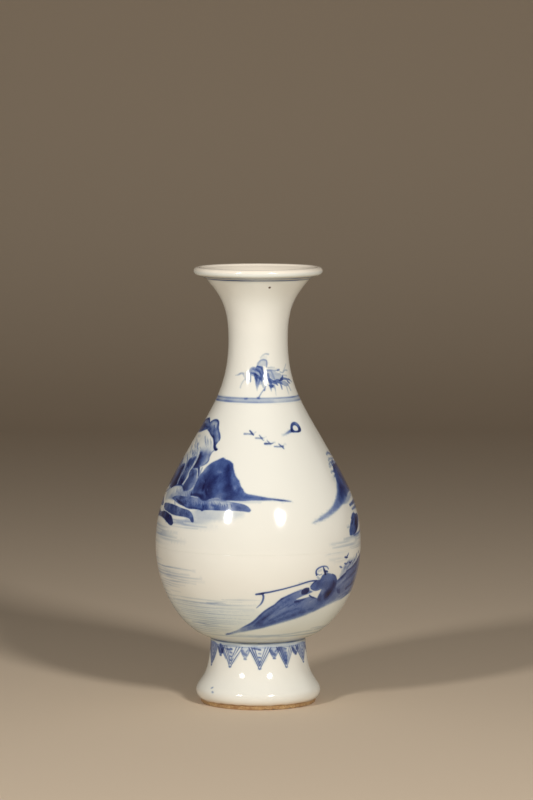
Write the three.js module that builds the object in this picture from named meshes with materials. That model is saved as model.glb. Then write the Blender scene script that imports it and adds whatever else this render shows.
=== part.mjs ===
// Pear-shaped porcelain vase on a tall splayed foot, with a flared mouth and a rolled lip.
// It is thrown in four sections, foot, lower belly, upper belly and neck, and each joint between
// two sections is luted with a thin layer of slip. All sizes are in millimetres, with +Z up and the
// origin on the vase's axis, in the plane of the foot's standing rim.

import * as THREE from 'three';

// An outline runs through knots. At a knot it leans outwards from the upright by some degrees, and
// it holds that lean for a length below the knot and for another above it.

// Driving dimensions of the foot's outside.
const footHeight = 31.6;
const footJoinRadius = 24;
const footJoinLean = -2.6;
const footJoinHold = 15.3;
const footSplayRadius = 29.8;
const footSplayHeight = 10;
const footSplayLean = -33.4;
const footSplayHoldBelow = 1.45;
const footSplayHoldAbove = 4.8;
const footBeadRadius = 31.35;
const footBeadHeight = 6.3;
const footBeadHoldBelow = 1.6;
const footBeadHoldAbove = 1.4;
const glazeEdgeRadius = 29.7;
const glazeEdgeHeight = 2.4;
const glazeEdgeLean = 49;
const glazeEdgeHold = 1.5;

// Driving dimensions of the foot's bare rim and of its hollow.
const bareRimStep = 0.5;
const bareRimStepHeight = 2.2;
const standOuterRadius = 28.3;
const standInnerRadius = 25.9;
const rimChamfer = 0.6;
const footWall = 3.7;
const footMouthRadius = 25.2;
const footMouthHeight = 1;
const footMouthLean = -10;
const footMouthHold = 9.1;
const footBoreHold = 14;

// Driving dimensions of the belly and the shoulder.
const bowlSpringRadius = 24.3;
const bowlSpringRise = 1;
const bowlSpringLean = 81;
const bowlSpringHold = 11.6;
const bellyRadius = 51.7;
const bellyRise = 48.1;
const bellyHoldBelow = 26.5;
const bellyHoldAbove = 19.9;
const shoulderRadius = 35.2;
const shoulderRise = 47.5;
const shoulderLean = -29.4;
const shoulderHoldBelow = 17.8;
const shoulderHoldAbove = 24.8;

// Driving dimensions of the bowl's wall, its floor and the shallow recess under it.
const bellyWall = 3.7;
const floorThickness = 4.6;
const recessDepth = 1.1;
const recessEdgeRadius = 16.2;
const recessEdgeDepth = 0.9;

// Driving dimensions of the neck and the mouth.
const neckRadius = 14.9;
const neckRise = 55.5;
const neckWall = 3.1;
const neckHoldBelow = 24;
const neckHoldAbove = 16.2;
const mouthRadius = 25.8;
const mouthRise = 29.8;
const mouthLean = 41;
const mouthHold = 10.7;
const lipOverhang = 4.55;
const lipRise = 4.3;
const lipRollRadius = 2;
const lipRollStart = -76;
const lipRollEnd = 144;

// Driving dimensions of the joints between the thrown sections.
const slipThickness = 0.8;
const neckSeamDrop = 31.4;
const seamRidge = 0.8;
const seamRidgeSpan = 6;

// Fineness of the turned surfaces, and the distance under which two points count as one.
const turnSegments = 48;
const bodySteps = 9;
const footSteps = 8;
const beadSteps = 5;
const lipRollSteps = 8;
const leastSpacing = 0.3;
const samePoint = 1e-6;

// Heights and radii that follow from the driving dimensions.
const bellySeat = footHeight + slipThickness;
const bellyHeight = bellySeat + bellyRise;
const shoulderHeight = bellyHeight + shoulderRise;
const neckHeight = shoulderHeight + neckRise;
const mouthHeight = neckHeight + mouthRise;
const lipRadius = mouthRadius + lipOverhang;
const lipHeight = mouthHeight + lipRise;
const neckSeam = neckHeight - neckSeamDrop;
const footBoreRadius = footJoinRadius - footWall;
const halfSlip = slipThickness / 2;

const point = (radius, height) => new THREE.Vector2(radius, height);

// The point at a distance from a centre, in a direction measured in degrees.
function pointAt(centre, distance, degrees) {
  const angle = THREE.MathUtils.degToRad(degrees);
  return point(Math.cos(angle), Math.sin(angle)).multiplyScalar(distance).add(centre);
}

// A knot of an outline: its place, its lean from the upright and the lengths that it holds it.
function knot(radius, height, lean, holdBelow, holdAbove = holdBelow) {
  const place = point(radius, height);
  const upward = 90 - lean;
  return {
    place,
    below: pointAt(place, -holdBelow, upward),
    above: pointAt(place, holdAbove, upward),
  };
}

// The smooth stretch of an outline between a knot and the next knot above it.
function stretch(low, high, steps) {
  return new THREE.CubicBezierCurve(low.place, low.above, high.below, high.place).getPoints(steps);
}

// Joins stretches end to end and leaves out the points that two neighbours share.
function joinStretches(...stretches) {
  const joined = [];
  for (const next of stretches.flat()) {
    const last = joined[joined.length - 1];
    if (!last || last.distanceTo(next) > samePoint) joined.push(next);
  }
  return joined;
}

// The radius of an upward-running outline at a height.
function radiusAt(outline, height) {
  for (let i = 1; i < outline.length; i += 1) {
    const low = outline[i - 1];
    const high = outline[i];
    if (height <= high.y) {
      const share = (height - low.y) / (high.y - low.y);
      return THREE.MathUtils.lerp(low.x, high.x, share);
    }
  }
  return outline[outline.length - 1].x;
}

// The part of an upward-running outline between two heights, with an exact point at each end.
function between(outline, bottom, top) {
  const inside = outline.filter((p) => p.y > bottom + leastSpacing && p.y < top - leastSpacing);
  return [point(radiusAt(outline, bottom), bottom), ...inside, point(radiusAt(outline, top), top)];
}

// The wall thins as it is drawn up from the belly into the neck.
function wallAt(height) {
  const thinned = THREE.MathUtils.smoothstep(height, bellyHeight, neckHeight);
  return THREE.MathUtils.lerp(bellyWall, neckWall, thinned);
}

// The inside of a thrown wall: the outer outline moved inwards, square to itself.
function insideOf(outline) {
  return outline.map((p, i) => {
    const before = outline[Math.max(i - 1, 0)];
    const after = outline[Math.min(i + 1, outline.length - 1)];
    const along = after.clone().sub(before).normalize();
    const wall = wallAt(p.y);
    return point(p.x - along.y * wall, p.y + along.x * wall);
  });
}

// The soft ridge that is left on the inside where two sections are pressed together.
function withSeamRidges(outline, seams) {
  return outline.map((p) => {
    let radius = p.x;
    for (const seam of seams) {
      const distance = Math.abs(p.y - seam) / seamRidgeSpan;
      if (distance < 1) radius -= (seamRidge * (1 + Math.cos(Math.PI * distance))) / 2;
    }
    return point(radius, p.y);
  });
}

// Belly, shoulder and neck are one continuous outline, cut into sections at the seams.
const bowlKnot = knot(
  bowlSpringRadius,
  bellySeat + bowlSpringRise,
  bowlSpringLean,
  bowlSpringHold,
);
const bellyKnot = knot(bellyRadius, bellyHeight, 0, bellyHoldBelow, bellyHoldAbove);
const shoulderKnot = knot(
  shoulderRadius,
  shoulderHeight,
  shoulderLean,
  shoulderHoldBelow,
  shoulderHoldAbove,
);
const neckKnot = knot(neckRadius, neckHeight, 0, neckHoldBelow, neckHoldAbove);
const mouthKnot = knot(mouthRadius, mouthHeight, mouthLean, mouthHold);
const outer = joinStretches(
  stretch(bowlKnot, bellyKnot, bodySteps),
  stretch(bellyKnot, shoulderKnot, bodySteps),
  stretch(shoulderKnot, neckKnot, bodySteps),
  stretch(neckKnot, mouthKnot, bodySteps),
);
const inner = withSeamRidges(insideOf(outer), [bellyHeight, neckSeam]);

// A closed ring or cup, turned about the upright axis from a profile of its wall.
function turned(profile) {
  return new THREE.LatheGeometry(profile, turnSegments).rotateX(Math.PI / 2);
}

const porcelain = new THREE.MeshStandardMaterial({
  color: 0xeee9dc,
  roughness: 0.12,
  metalness: 0,
});
const slip = new THREE.MeshStandardMaterial({ color: 0xe4dcca, roughness: 0.45, metalness: 0 });

function addPiece(group, name, profile, material) {
  const piece = new THREE.Mesh(turned(profile), material);
  piece.name = name;
  group.add(piece);
}

// The foot is an open ring: it splays to a rounded bead, then steps in to the bare rim it stands on.
function footProfile() {
  const glazeKnot = knot(glazeEdgeRadius, glazeEdgeHeight, glazeEdgeLean, glazeEdgeHold);
  const beadKnot = knot(
    footBeadRadius,
    footBeadHeight,
    0,
    footBeadHoldBelow,
    footBeadHoldAbove,
  );
  const splayKnot = knot(
    footSplayRadius,
    footSplayHeight,
    footSplayLean,
    footSplayHoldBelow,
    footSplayHoldAbove,
  );
  const joinKnot = knot(footJoinRadius, footHeight, footJoinLean, footJoinHold);
  const mouthEdge = knot(footMouthRadius, footMouthHeight, footMouthLean, footMouthHold);
  const boreTop = knot(footBoreRadius, footHeight, 0, footBoreHold);
  const outside = joinStretches(
    [
      point(standInnerRadius, 0),
      point(standOuterRadius, 0),
      point(standOuterRadius + rimChamfer, rimChamfer),
      point(glazeEdgeRadius - bareRimStep, bareRimStepHeight),
    ],
    stretch(glazeKnot, beadKnot, beadSteps),
    stretch(beadKnot, splayKnot, beadSteps - 1),
    stretch(splayKnot, joinKnot, footSteps),
  );
  const inside = stretch(mouthEdge, boreTop, footSteps - 1).reverse();
  return [...outside, ...inside, outside[0]];
}

// The slip between the foot and the belly fills the whole width of the foot's top.
function footLutingProfile() {
  return [
    point(footBoreRadius, footHeight),
    point(footJoinRadius, footHeight),
    point(footJoinRadius, bellySeat),
    point(footBoreRadius, bellySeat),
    point(footBoreRadius, footHeight),
  ];
}

// The lower belly is a bowl with a closed floor, and a turned seat under it for the foot.
function lowerBellyProfile() {
  const top = bellyHeight - halfSlip;
  const outside = between(outer, outer[0].y, top);
  const inside = between(inner, inner[0].y, top).reverse();
  return [
    point(0, bellySeat + recessDepth),
    point(recessEdgeRadius, bellySeat + recessEdgeDepth),
    point(footBoreRadius, bellySeat),
    point(footJoinRadius, bellySeat),
    ...outside,
    ...inside,
    point(0, bellySeat + recessDepth + floorThickness),
  ];
}

// A layer of slip between two sections, flush outside and squeezed out in a bead inside.
function lutingProfile(seam) {
  const bottom = seam - halfSlip;
  const top = seam + halfSlip;
  const lowCorner = point(radiusAt(inner, bottom), bottom);
  const highCorner = point(radiusAt(inner, top), top);
  return [
    lowCorner,
    point(radiusAt(outer, bottom), bottom),
    point(radiusAt(outer, top), top),
    highCorner,
    point(Math.min(lowCorner.x, highCorner.x) - halfSlip, seam),
    lowCorner,
  ];
}

// The upper belly runs from the widest line up over the shoulder to the root of the neck.
function upperBellyProfile() {
  const bottom = bellyHeight + halfSlip;
  const top = neckSeam - halfSlip;
  const outside = between(outer, bottom, top);
  const inside = between(inner, bottom, top).reverse();
  return [...outside, ...inside, outside[0]];
}

// The neck narrows to its waist, flares to the mouth and ends in a rolled lip that overhangs.
function neckProfile() {
  const bottom = neckSeam + halfSlip;
  const shaft = between(outer, bottom, mouthHeight);
  const bore = between(inner, bottom, inner[inner.length - 1].y).reverse();
  const lipRoll = Array.from({ length: lipRollSteps + 1 }, (_, i) => {
    const angle = THREE.MathUtils.lerp(lipRollStart, lipRollEnd, i / lipRollSteps);
    return pointAt(point(lipRadius, lipHeight), lipRollRadius, angle);
  });
  return [...shaft, ...lipRoll, ...bore, shaft[0]];
}

const vase = new THREE.Group();
addPiece(vase, 'foot', footProfile(), porcelain);
addPiece(vase, 'foot_luting', footLutingProfile(), slip);
addPiece(vase, 'lower_belly', lowerBellyProfile(), porcelain);
addPiece(vase, 'belly_luting', lutingProfile(bellyHeight), slip);
addPiece(vase, 'upper_belly', upperBellyProfile(), porcelain);
addPiece(vase, 'neck_luting', lutingProfile(neckSeam), slip);
addPiece(vase, 'neck', neckProfile(), porcelain);

export default vase;
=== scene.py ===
import math

import bpy
import numpy as np
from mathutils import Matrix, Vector


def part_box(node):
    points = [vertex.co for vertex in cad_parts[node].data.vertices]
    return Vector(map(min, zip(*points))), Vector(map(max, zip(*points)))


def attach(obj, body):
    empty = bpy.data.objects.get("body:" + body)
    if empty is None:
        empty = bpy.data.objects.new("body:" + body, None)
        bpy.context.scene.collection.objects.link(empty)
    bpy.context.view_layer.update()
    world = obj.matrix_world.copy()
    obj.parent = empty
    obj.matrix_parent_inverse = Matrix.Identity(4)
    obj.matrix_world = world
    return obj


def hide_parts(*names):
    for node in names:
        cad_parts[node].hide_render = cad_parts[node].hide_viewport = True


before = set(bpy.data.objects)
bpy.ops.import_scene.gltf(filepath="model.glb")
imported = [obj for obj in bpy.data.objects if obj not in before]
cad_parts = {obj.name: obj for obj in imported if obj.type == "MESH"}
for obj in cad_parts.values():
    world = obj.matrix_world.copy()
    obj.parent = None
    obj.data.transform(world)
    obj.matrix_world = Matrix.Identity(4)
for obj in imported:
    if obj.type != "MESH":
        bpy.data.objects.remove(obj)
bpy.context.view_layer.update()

# Camera
# A long lens looks at the vase from a little above its mouth, square to the painted front. The axis
# of the vase stands slightly left of the middle of the frame.
photo_long_side = 800
focal_length_px = 3800.0
axis_left_of_middle_px = 8.4
camera_distance = 1.9
camera_height = 0.3241
camera_pitch = 0.090

lens = bpy.data.cameras.new("camera")
lens.sensor_width = 36.0
lens.lens = focal_length_px / photo_long_side * lens.sensor_width
camera = bpy.data.objects.new("camera", lens)
bpy.context.scene.collection.objects.link(camera)
sidestep = axis_left_of_middle_px / focal_length_px * camera_distance
camera.location = (sidestep, -camera_distance, camera_height)
camera.rotation_euler = (math.pi / 2 - camera_pitch, 0, 0)
bpy.context.scene.camera = camera


# Foot
# A tall splayed foot, thrown as an open ring from white porcelain clay and luted under the bowl. It
# is glazed down to a rounded bead and painted with a band of pointed lappets. The rim that it stands
# on was wiped bare before the firing and has burnt to a sandy orange with some kiln grit in it.

# Sizes here are in millimetres, as in the solids, and MM turns them into metres.
MM = 0.001

# The grid of a wall is cut in square tiles. A piece with too many faces is made again, a step looser.
GRID_TILE = 64
ROWS_PER_CORNER = 16
MOST_FACES = 190_000
LOOSER = 1.12

# Spacing of the rows of a wall's grid: on a fine edge, the painted outside, a hidden face, the inside.
EDGE_ROWS, PAINTED_ROWS, HIDDEN_ROWS, BORE_ROWS, INSIDE_ROWS = 0.12, 0.16, 0.3, 0.35, 0.4

# What is painted on a wall, besides its relief: cobalt and its violet cast, a warm flush, bare clay, and
# how thick the glaze lies, which is less than 0 where it drew off, with a lighter tone that is painted
# light.
PAINTS = ("cobalt", "violet", "warm", "bare", "thickness")

# How much of each look a triangle may miss: place in millimetres, lean of the surface, and each paint.
MISS = {"place": 0.014, "lean": 0.045, "cobalt": 0.034, "violet": 0.2, "warm": 0.15, "bare": 0.12,
        "thickness": 0.25}

# The brush: the steps along a mark, the width of a hair, how strokes add up, what bleeds out, how far
# a shape reaches, how the tones in a wash blend, and the size of its clouds.
STROKE_STEP, SHAPE_STEP, HAIR = 0.3, 0.4, 0.35
OVERLAP, FULL_LOAD = 0.3, 0.8
KEPT, BLED = 0.82, 0.18
SHAPE_REACH = 2.5
TONE_CORE, TONE_FALL = 0.25, 1.7
CLOUD, FINE_CLOUD = 2.3, 0.9

# The flat map for baking: strips side by side, each with a free edge.
MAP_STRIPS, MAP_EDGE, MAP_SIDE = 4, 0.01, 0.98


def bezier(p0, p1, p2, p3, steps=48):
    """A smooth stretch of a turned outline, as radii and heights in millimetres."""
    t = np.linspace(0, 1, steps + 1)[:, None]
    p0, p1, p2, p3 = (np.array(p, float) for p in (p0, p1, p2, p3))
    return (1 - t) ** 3 * p0 + 3 * (1 - t) ** 2 * t * p1 + 3 * (1 - t) * t * t * p2 + t**3 * p3


def held(place, lean, length):
    """The handle of a knot in an outline: it leans outwards from the upright by some degrees."""
    angle = math.radians(lean)
    return place[0] + math.sin(angle) * length, place[1] + math.cos(angle) * length


def joined(*stretches):
    """Stretches of an outline put end to end, without the points that neighbours share."""
    return np.vstack([stretches[0]] + [s[1:] for s in stretches[1:]])


def fade(edge0, edge1, value):
    """A soft step from 0 at edge0 to 1 at edge1."""
    t = np.clip((value - edge0) / (edge1 - edge0), 0, 1)
    return t * t * (3 - 2 * t)


def unevenness(x, y, seed):
    """Soft seeded noise between 0 and 1, one bump for each unit of x and y."""
    xi, yi = np.floor(x).astype(np.int64), np.floor(y).astype(np.int64)
    fx, fy = fade(0, 1, x - xi), fade(0, 1, y - yi)

    def corner(i, j):
        h = (i * 374761393 + j * 668265263 + seed * 1274126177) & 0xFFFFFFFF
        h = ((h ^ (h >> 13)) * 1274126177) & 0xFFFFFFFF
        return (h ^ (h >> 16)) / 2**32

    low = corner(xi, yi) * (1 - fx) + corner(xi + 1, yi) * fx
    high = corner(xi, yi + 1) * (1 - fx) + corner(xi + 1, yi + 1) * fx
    return low * (1 - fy) + high * fy


def brush_line(points, spacing, closed=False):
    """A flowing line through given points in millimetres. Further columns are carried along."""
    p = np.asarray(points, float)
    if closed:
        p = np.vstack([p[-2:], p, p[:2]])
    t = np.r_[0, np.cumsum(np.sqrt(np.linalg.norm(np.diff(p[:, :2], axis=0), axis=1)) + 1e-6)]
    slope = np.gradient(p, t, axis=0) if len(p) > 2 else np.repeat((p[1:] - p[:1]) / t[1], 2, axis=0)
    if closed:
        first, last = 2, len(p) - 2
    else:
        first, last = 0, len(p) - 1
    fine = []
    for k in range(first, last):
        length = np.linalg.norm(p[k + 1, :2] - p[k, :2])
        u = np.linspace(0, 1, max(2, int(math.ceil(length / spacing)) + 1))[:-1, None]
        h = t[k + 1] - t[k]
        fine.append(
            (1 + 2 * u) * (1 - u) ** 2 * p[k]
            + u * (1 - u) ** 2 * h * slope[k]
            + u * u * (3 - 2 * u) * p[k + 1]
            + u * u * (u - 1) * h * slope[k + 1]
        )
    if not closed:
        fine.append(p[-1:])
    return np.vstack(fine)


class Wall:
    """The wall of one thrown piece, as a fine grid of columns round the vase and rows along its profile.

    Column 0 is the painted front and the angle grows to the right. The grid is painted on with
    stroke() and wash(), whose points are degrees round the vase and millimetres up it, and is then
    turned into a closed mesh that is fine only where the form or the painting needs it.
    """

    def __init__(self, columns, stretches, painted, open_rows=False):
        counts = []
        for points, spacing in stretches:
            length = np.linalg.norm(np.diff(points, axis=0), axis=1).sum()
            counts.append(ROWS_PER_CORNER * max(1, round(length / spacing / ROWS_PER_CORNER)))
        counts[-1] += -sum(counts) % GRID_TILE
        rows, starts = [], [0]
        for (points, _), count in zip(stretches, counts):
            at = np.r_[0, np.cumsum(np.linalg.norm(np.diff(points, axis=0), axis=1))]
            even = np.linspace(0, at[-1], count + 1)[:-1]
            rows.append(np.stack([np.interp(even, at, points[:, k]) for k in (0, 1)], 1))
            starts.append(starts[-1] + count)
        if open_rows:
            rows.append(stretches[-1][0][-1:])
        self.profile = np.vstack(rows)
        self.open_rows = open_rows
        self.columns = columns
        self.rows = slice(starts[painted[0]], starts[painted[1] + 1] + 1)
        shape = (len(self.profile), columns)
        for layer in PAINTS + ("relief",):
            setattr(self, layer, np.zeros(shape, np.float32))
        outside = self.profile[self.rows]
        self.radius, self.height = outside[:, 0], outside[:, 1]
        self.along = np.r_[0, np.cumsum(np.linalg.norm(np.diff(outside, axis=0), axis=1))]

    def place(self, points):
        """Given degrees and heights as millimetres round and along the wall, and their radius."""
        p = np.asarray(points, float)
        along = np.interp(p[:, 1], self.height, self.along)
        radius = float(np.mean(np.interp(p[:, 1], self.height, self.radius)))
        return np.column_stack([np.radians(p[:, 0]) * radius, along, p[:, 2:]]), radius

    def window(self, angles, alongs, margin):
        """The rows and columns of the grid round a mark, and where they lie."""
        low, high = np.searchsorted(self.along, [alongs.min() - margin, alongs.max() + margin])
        low, high = max(low - 1, 0), min(high + 1, len(self.along))
        reach = margin / self.radius[low:high].min()
        step = 2 * math.pi / self.columns
        span = np.arange(math.floor((angles.min() - reach) / step),
                         math.ceil((angles.max() + reach) / step) + 1)
        return low, high, span, span * step

    def nearest(self, line, margin):
        """For the grid round a line: how far each point is from it, and which point of it is nearest."""
        low, high, span, angle = self.window(line[:, 0], line[:, 1], margin)
        near = np.full((high - low, len(span)), 1e3)
        which = np.zeros(near.shape, int)
        for k in range(0, len(line), 10):
            part = line[k : k + 11]
            part_low, part_high, part_span, part_angle = self.window(part[:, 0], part[:, 1], margin)
            shift = part_span[0] - span[0]
            radius = self.radius[part_low:part_high, None, None]
            gap = np.hypot((part_angle[None, :, None] - part[:, 0]) * radius,
                           self.along[part_low:part_high, None, None] - part[:, 1])
            best = gap.argmin(axis=2)
            least = np.take_along_axis(gap, best[..., None], 2)[..., 0]
            view = (slice(part_low - low, part_high - low), slice(shift, shift + len(part_span)))
            closer = least < near[view]
            near[view] = np.where(closer, least, near[view])
            which[view] = np.where(closer, best + k, which[view])
        return low, high, span, angle, near, which

    def settle(self, low, high, span, amount, violet, lift):
        """Lays pigment on the grid, or lifts it where the brush leaves a reserve."""
        at = np.ix_(np.arange(low, high) + self.rows.start, span % self.columns)
        old = self.cobalt[at]
        if lift:
            self.cobalt[at] = old * (1 - np.clip(amount, 0, 1))
            self.violet[at] *= 1 - np.clip(amount, 0, 1)
            return
        self.cobalt[at] = np.maximum(old, amount) + OVERLAP * np.minimum(old, amount)
        self.violet[at] = np.maximum(self.violet[at], violet * np.clip(amount * 2, 0, 1))

    def stroke(self, points, width, load, soft=0.22, pool=0.12, dry=0.0, violet=0.0, lift=False, seed=1):
        """One pull of the brush. Each of width and load is a number or (start, middle, end).

        A dry brush leaves hairs, which the seed places.
        """
        placed, radius = self.place(points)
        line = brush_line(placed, STROKE_STEP)
        share = np.linspace(0, 1, len(line))
        profile = [np.atleast_1d(np.asarray(v, float)) for v in (width, load)]
        broad, full = (np.interp(share, np.linspace(0, 1, len(v)), v) for v in profile)
        way = np.gradient(line[:, :2], axis=0)
        way /= np.linalg.norm(way, axis=1)[:, None] + 1e-9
        line[:, 0] /= radius
        low, high, span, angle, near, which = self.nearest(line[:, :2], broad.max() / 2 + soft * 2)
        half = broad[which] / 2
        cover = fade(half + soft, half - soft, near)
        edge = np.exp(-(((near - half + soft) / (soft + 0.1)) ** 2))
        amount = full[which] * cover * (1 + pool * edge)
        if dry:
            dx = (angle[None, :] - line[which, 0]) * self.radius[low:high, None]
            ds = self.along[low:high, None] - line[which, 1]
            across = dx * way[which, 1] - ds * way[which, 0]
            hairs = unevenness(across / HAIR + 50, share[which] * 3 + seed, seed)
            amount = amount * (1 - dry * fade(0.35, 0.85, hairs))
        self.settle(low, high, span, amount, violet, lift)

    def strokes(self, rows, seed=1, **brush):
        """Pulls of one brush, each as (points, width, load) or (points, width, load, violet)."""
        for k, (points, width, load, *violet) in enumerate(rows):
            hue = {"violet": violet[0]} if violet else {}
            self.stroke(points, width, load, seed=seed + k, **brush, **hue)

    def wash(self, points, load, feather=0.35, pool=0.15, mottle=0.12, violet=0.0, lift=False, seed=1):
        """A filled shape. Load is a number, or a list of (degrees, height, load[, violet]) that blend."""
        placed, radius = self.place(points)
        line = brush_line(placed[:, :2], SHAPE_STEP, closed=True)
        line[:, 0] /= radius
        low, high, span, angle, near, _ = self.nearest(np.vstack([line, line[:1]]), SHAPE_REACH)
        along = self.along[low:high]
        inside = np.zeros(near.shape, bool)
        for (x0, y0), (x1, y1) in zip(line, np.roll(line, -1, axis=0)):
            crossed = (y0 > along) != (y1 > along)
            if crossed.any():
                at = x0 + (along[crossed] - y0) * (x1 - x0) / (y1 - y0)
                inside[crossed] ^= angle[None, :] < at[:, None]
        depth = np.where(inside, near, -near)
        cover = fade(-feather, feather, depth)
        x = angle[None, :] * self.radius[low:high, None]
        y = np.broadcast_to(along[:, None], x.shape)
        if isinstance(load, list):
            tones, _ = self.place([(t + (0,))[:4] for t in load])
            tones[:, 0] = np.radians([t[0] for t in load])
            weight, tone, hue = 0, 0, 0
            for turned, up, value, purple in tones:
                apart = ((angle[None, :] - turned) * self.radius[low:high, None]) ** 2 + (y - up) ** 2
                pull = 1 / (apart + TONE_CORE) ** TONE_FALL
                weight, tone, hue = weight + pull, tone + pull * value, hue + pull * purple
            load, violet = tone / weight, hue / weight
        broad_cloud = unevenness(x / CLOUD + 90, y / CLOUD, seed)
        cloud = broad_cloud + 0.5 * unevenness(x / FINE_CLOUD + 90, y / FINE_CLOUD, seed + 7)
        pooled = 1 + pool * np.exp(-((depth / 0.5) ** 2))
        amount = load * cover * (1 + mottle * (cloud * 1.33 - 1)) * pooled
        self.settle(low, high, span, amount, violet, lift)

    def ring(self, height, width, load, sway=0.15, soft=0.2, seed=1, wander=0.3, tones=()):
        """A line drawn round the vase while it turned on the wheel."""
        turn = np.linspace(0, 2 * math.pi, self.columns, endpoint=False)
        bend = sway * (np.sin(turn + seed) + 0.5 * np.sin(3 * turn + 2 * seed))
        middle = np.interp(height, self.height, self.along) + bend
        near = np.abs(self.along[:, None] - middle)
        wet = 1 + wander * (unevenness(turn * 4, turn * 0 + seed, seed) - 0.5) * 2
        if tones:
            spots, values = np.array(tones, float).T
            wet = wet * np.interp(np.degrees(turn), spots, values, period=360)
        amount = load * wet * fade(width / 2 + soft, width / 2 - soft, near)
        self.settle(0, len(self.along), np.arange(self.columns), amount, 0, False)

    def bled(self):
        """The cobalt as it fires: a little of it spreads out into the glaze round each stroke."""
        spread = self.cobalt
        for reach in (1, 2, 3, 4):
            for axis in (0, 1):
                spread = (np.roll(spread, reach, axis) + 2 * spread + np.roll(spread, -reach, axis)) / 4
        return KEPT * self.cobalt + BLED * spread

    def piece(self, name):
        """The wall as a closed mesh, with its painting on it and a flat map of it for baking."""
        self.cobalt = self.bled()
        turn = np.arange(self.columns) * 2 * math.pi / self.columns
        r, z = self.profile[:, :1], self.profile[:, 1:]
        steps = np.diff(self.profile, axis=0, append=self.profile[:1])
        lean = steps / (np.linalg.norm(steps, axis=1)[:, None] + 1e-9)
        back = np.roll(lean, 1, axis=0)
        if self.open_rows:
            lean[-1], back[0] = back[-1], lean[0]
        mean = lean + back
        mean /= np.linalg.norm(mean, axis=1)[:, None] + 1e-9
        r, z = r + mean[:, 1:] * self.relief, z - mean[:, :1] * self.relief
        spot = np.stack([r * np.sin(turn), -r * np.cos(turn), z], 2).astype(np.float32)
        ahead = np.roll(spot, -1, axis=0) - spot
        ahead /= np.linalg.norm(ahead, axis=2)[..., None] + 1e-9
        behind = np.roll(ahead, 1, axis=0)
        if self.open_rows:
            ahead[-1], behind[0] = behind[-1], ahead[0]
        normal = np.cross(np.roll(spot, -1, axis=1) - np.roll(spot, 1, axis=1), ahead + behind)
        size = np.linalg.norm(normal, axis=2)[..., None]
        normal = normal / np.maximum(size, 1e-12)
        if self.open_rows:
            normal[0], normal[-1] = (0, 0, -1), (0, 0, 1)
        tone = FULL_LOAD * (1 - np.exp(-self.cobalt / FULL_LOAD))
        paint = [tone / MISS["cobalt"]]
        paint += [getattr(self, label) / MISS[label] for label in PAINTS[1:]]
        form = [spot / MISS["place"], normal / MISS["lean"]]
        looks = np.concatenate(form + [np.stack(paint, 2)], 2).astype(np.float32)
        need = self.worst_gaps(looks)
        strictness = 1.0
        corners = self.split(need, strictness)
        while len(corners) > MOST_FACES:
            strictness *= LOOSER
            corners = self.split(need, strictness)
        row, column = corners[..., 0], corners[..., 1]
        row_count = len(self.profile)
        ids = (row if self.open_rows else row % row_count) * self.columns + column % self.columns
        if self.open_rows:
            ids[row == 0] = 0
            ids[row == row_count - 1] = (row_count - 1) * self.columns
        real = (ids[:, 0] != ids[:, 1]) & (ids[:, 1] != ids[:, 2]) & (ids[:, 2] != ids[:, 0])
        ids, row, column = ids[real], row[real], column[real]
        used, faces = np.unique(ids, return_inverse=True)
        faces = faces.reshape(ids.shape)
        at = (used // self.columns, used % self.columns)
        mesh = bpy.data.meshes.new(name)
        mesh.from_pydata(spot[at].astype(float) * MM, [], faces)
        mesh.polygons.foreach_set("use_smooth", np.ones(len(faces), bool))
        for label in PAINTS:
            values = getattr(self, label)[at]
            mesh.attributes.new(label, "FLOAT", "POINT").data.foreach_set("value", values)
        strip = self.columns // MAP_STRIPS
        lane = column.min(axis=1)[:, None] // strip
        across = (column - lane * strip) / strip
        up = (lane + MAP_EDGE + MAP_SIDE * row / row_count) / MAP_STRIPS
        flat = np.stack([MAP_EDGE + MAP_SIDE * across, up], 2).reshape(-1)
        mesh.uv_layers.new(name="OFBake").data.foreach_set("uv", flat.astype(np.float32))
        mesh.normals_split_custom_set_from_vertices(normal[at].astype(float))
        made = bpy.data.objects.new(name, mesh)
        bpy.context.scene.collection.objects.link(made)
        return made

    def worst_gaps(self, looks):
        """How far a straight edge would miss each grid point, or a finer point that depends on it."""
        row_count, columns = looks.shape[:2]
        need = np.zeros((row_count, columns), np.float32)

        def rows_of(i):
            return np.clip(i, 0, row_count - 1) if self.open_rows else i % row_count

        def miss(i, j, i0, j0, i1, j1):
            a = looks[rows_of(i0), j0 % columns]
            b = looks[rows_of(i1), j1 % columns]
            return np.linalg.norm(looks[rows_of(i), j % columns] - (a + b) / 2, axis=2)

        def worst(i, j, own, reach):
            for di, dj in reach:
                own = np.maximum(own, need[rows_of(i + di), (j + dj) % columns])
            need[rows_of(i), j % columns] = own

        last = row_count - 1 if self.open_rows else row_count
        step = 2
        while step <= GRID_TILE:
            half, quarter = step // 2, step // 4
            on_rows = np.arange(0, last + 1 if self.open_rows else last, step)[:, None]
            mid_rows = np.arange(half, last, step)[:, None]
            on_columns = np.arange(0, columns, step)[None]
            mid_columns = np.arange(half, columns, step)[None]
            diagonal = [(a * quarter, b * quarter) for a in (-1, 1) for b in (-1, 1)] if quarter else []
            i, j = on_rows + 0 * mid_columns, mid_columns + 0 * on_rows
            worst(i, j, miss(i, j, i, j - half, i, j + half), diagonal)
            i, j = mid_rows + 0 * on_columns, on_columns + 0 * mid_rows
            worst(i, j, miss(i, j, i - half, j, i + half, j), diagonal)
            i, j = mid_rows + 0 * mid_columns, mid_columns + 0 * mid_rows
            tilt = np.where((i // step + j // step) % 2 == 0, half, -half)
            sides = [(half, 0), (-half, 0), (0, half), (0, -half)]
            worst(i, j, miss(i, j, i - half, j - tilt, i + half, j + tilt), sides)
            step *= 2
        return need

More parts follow.
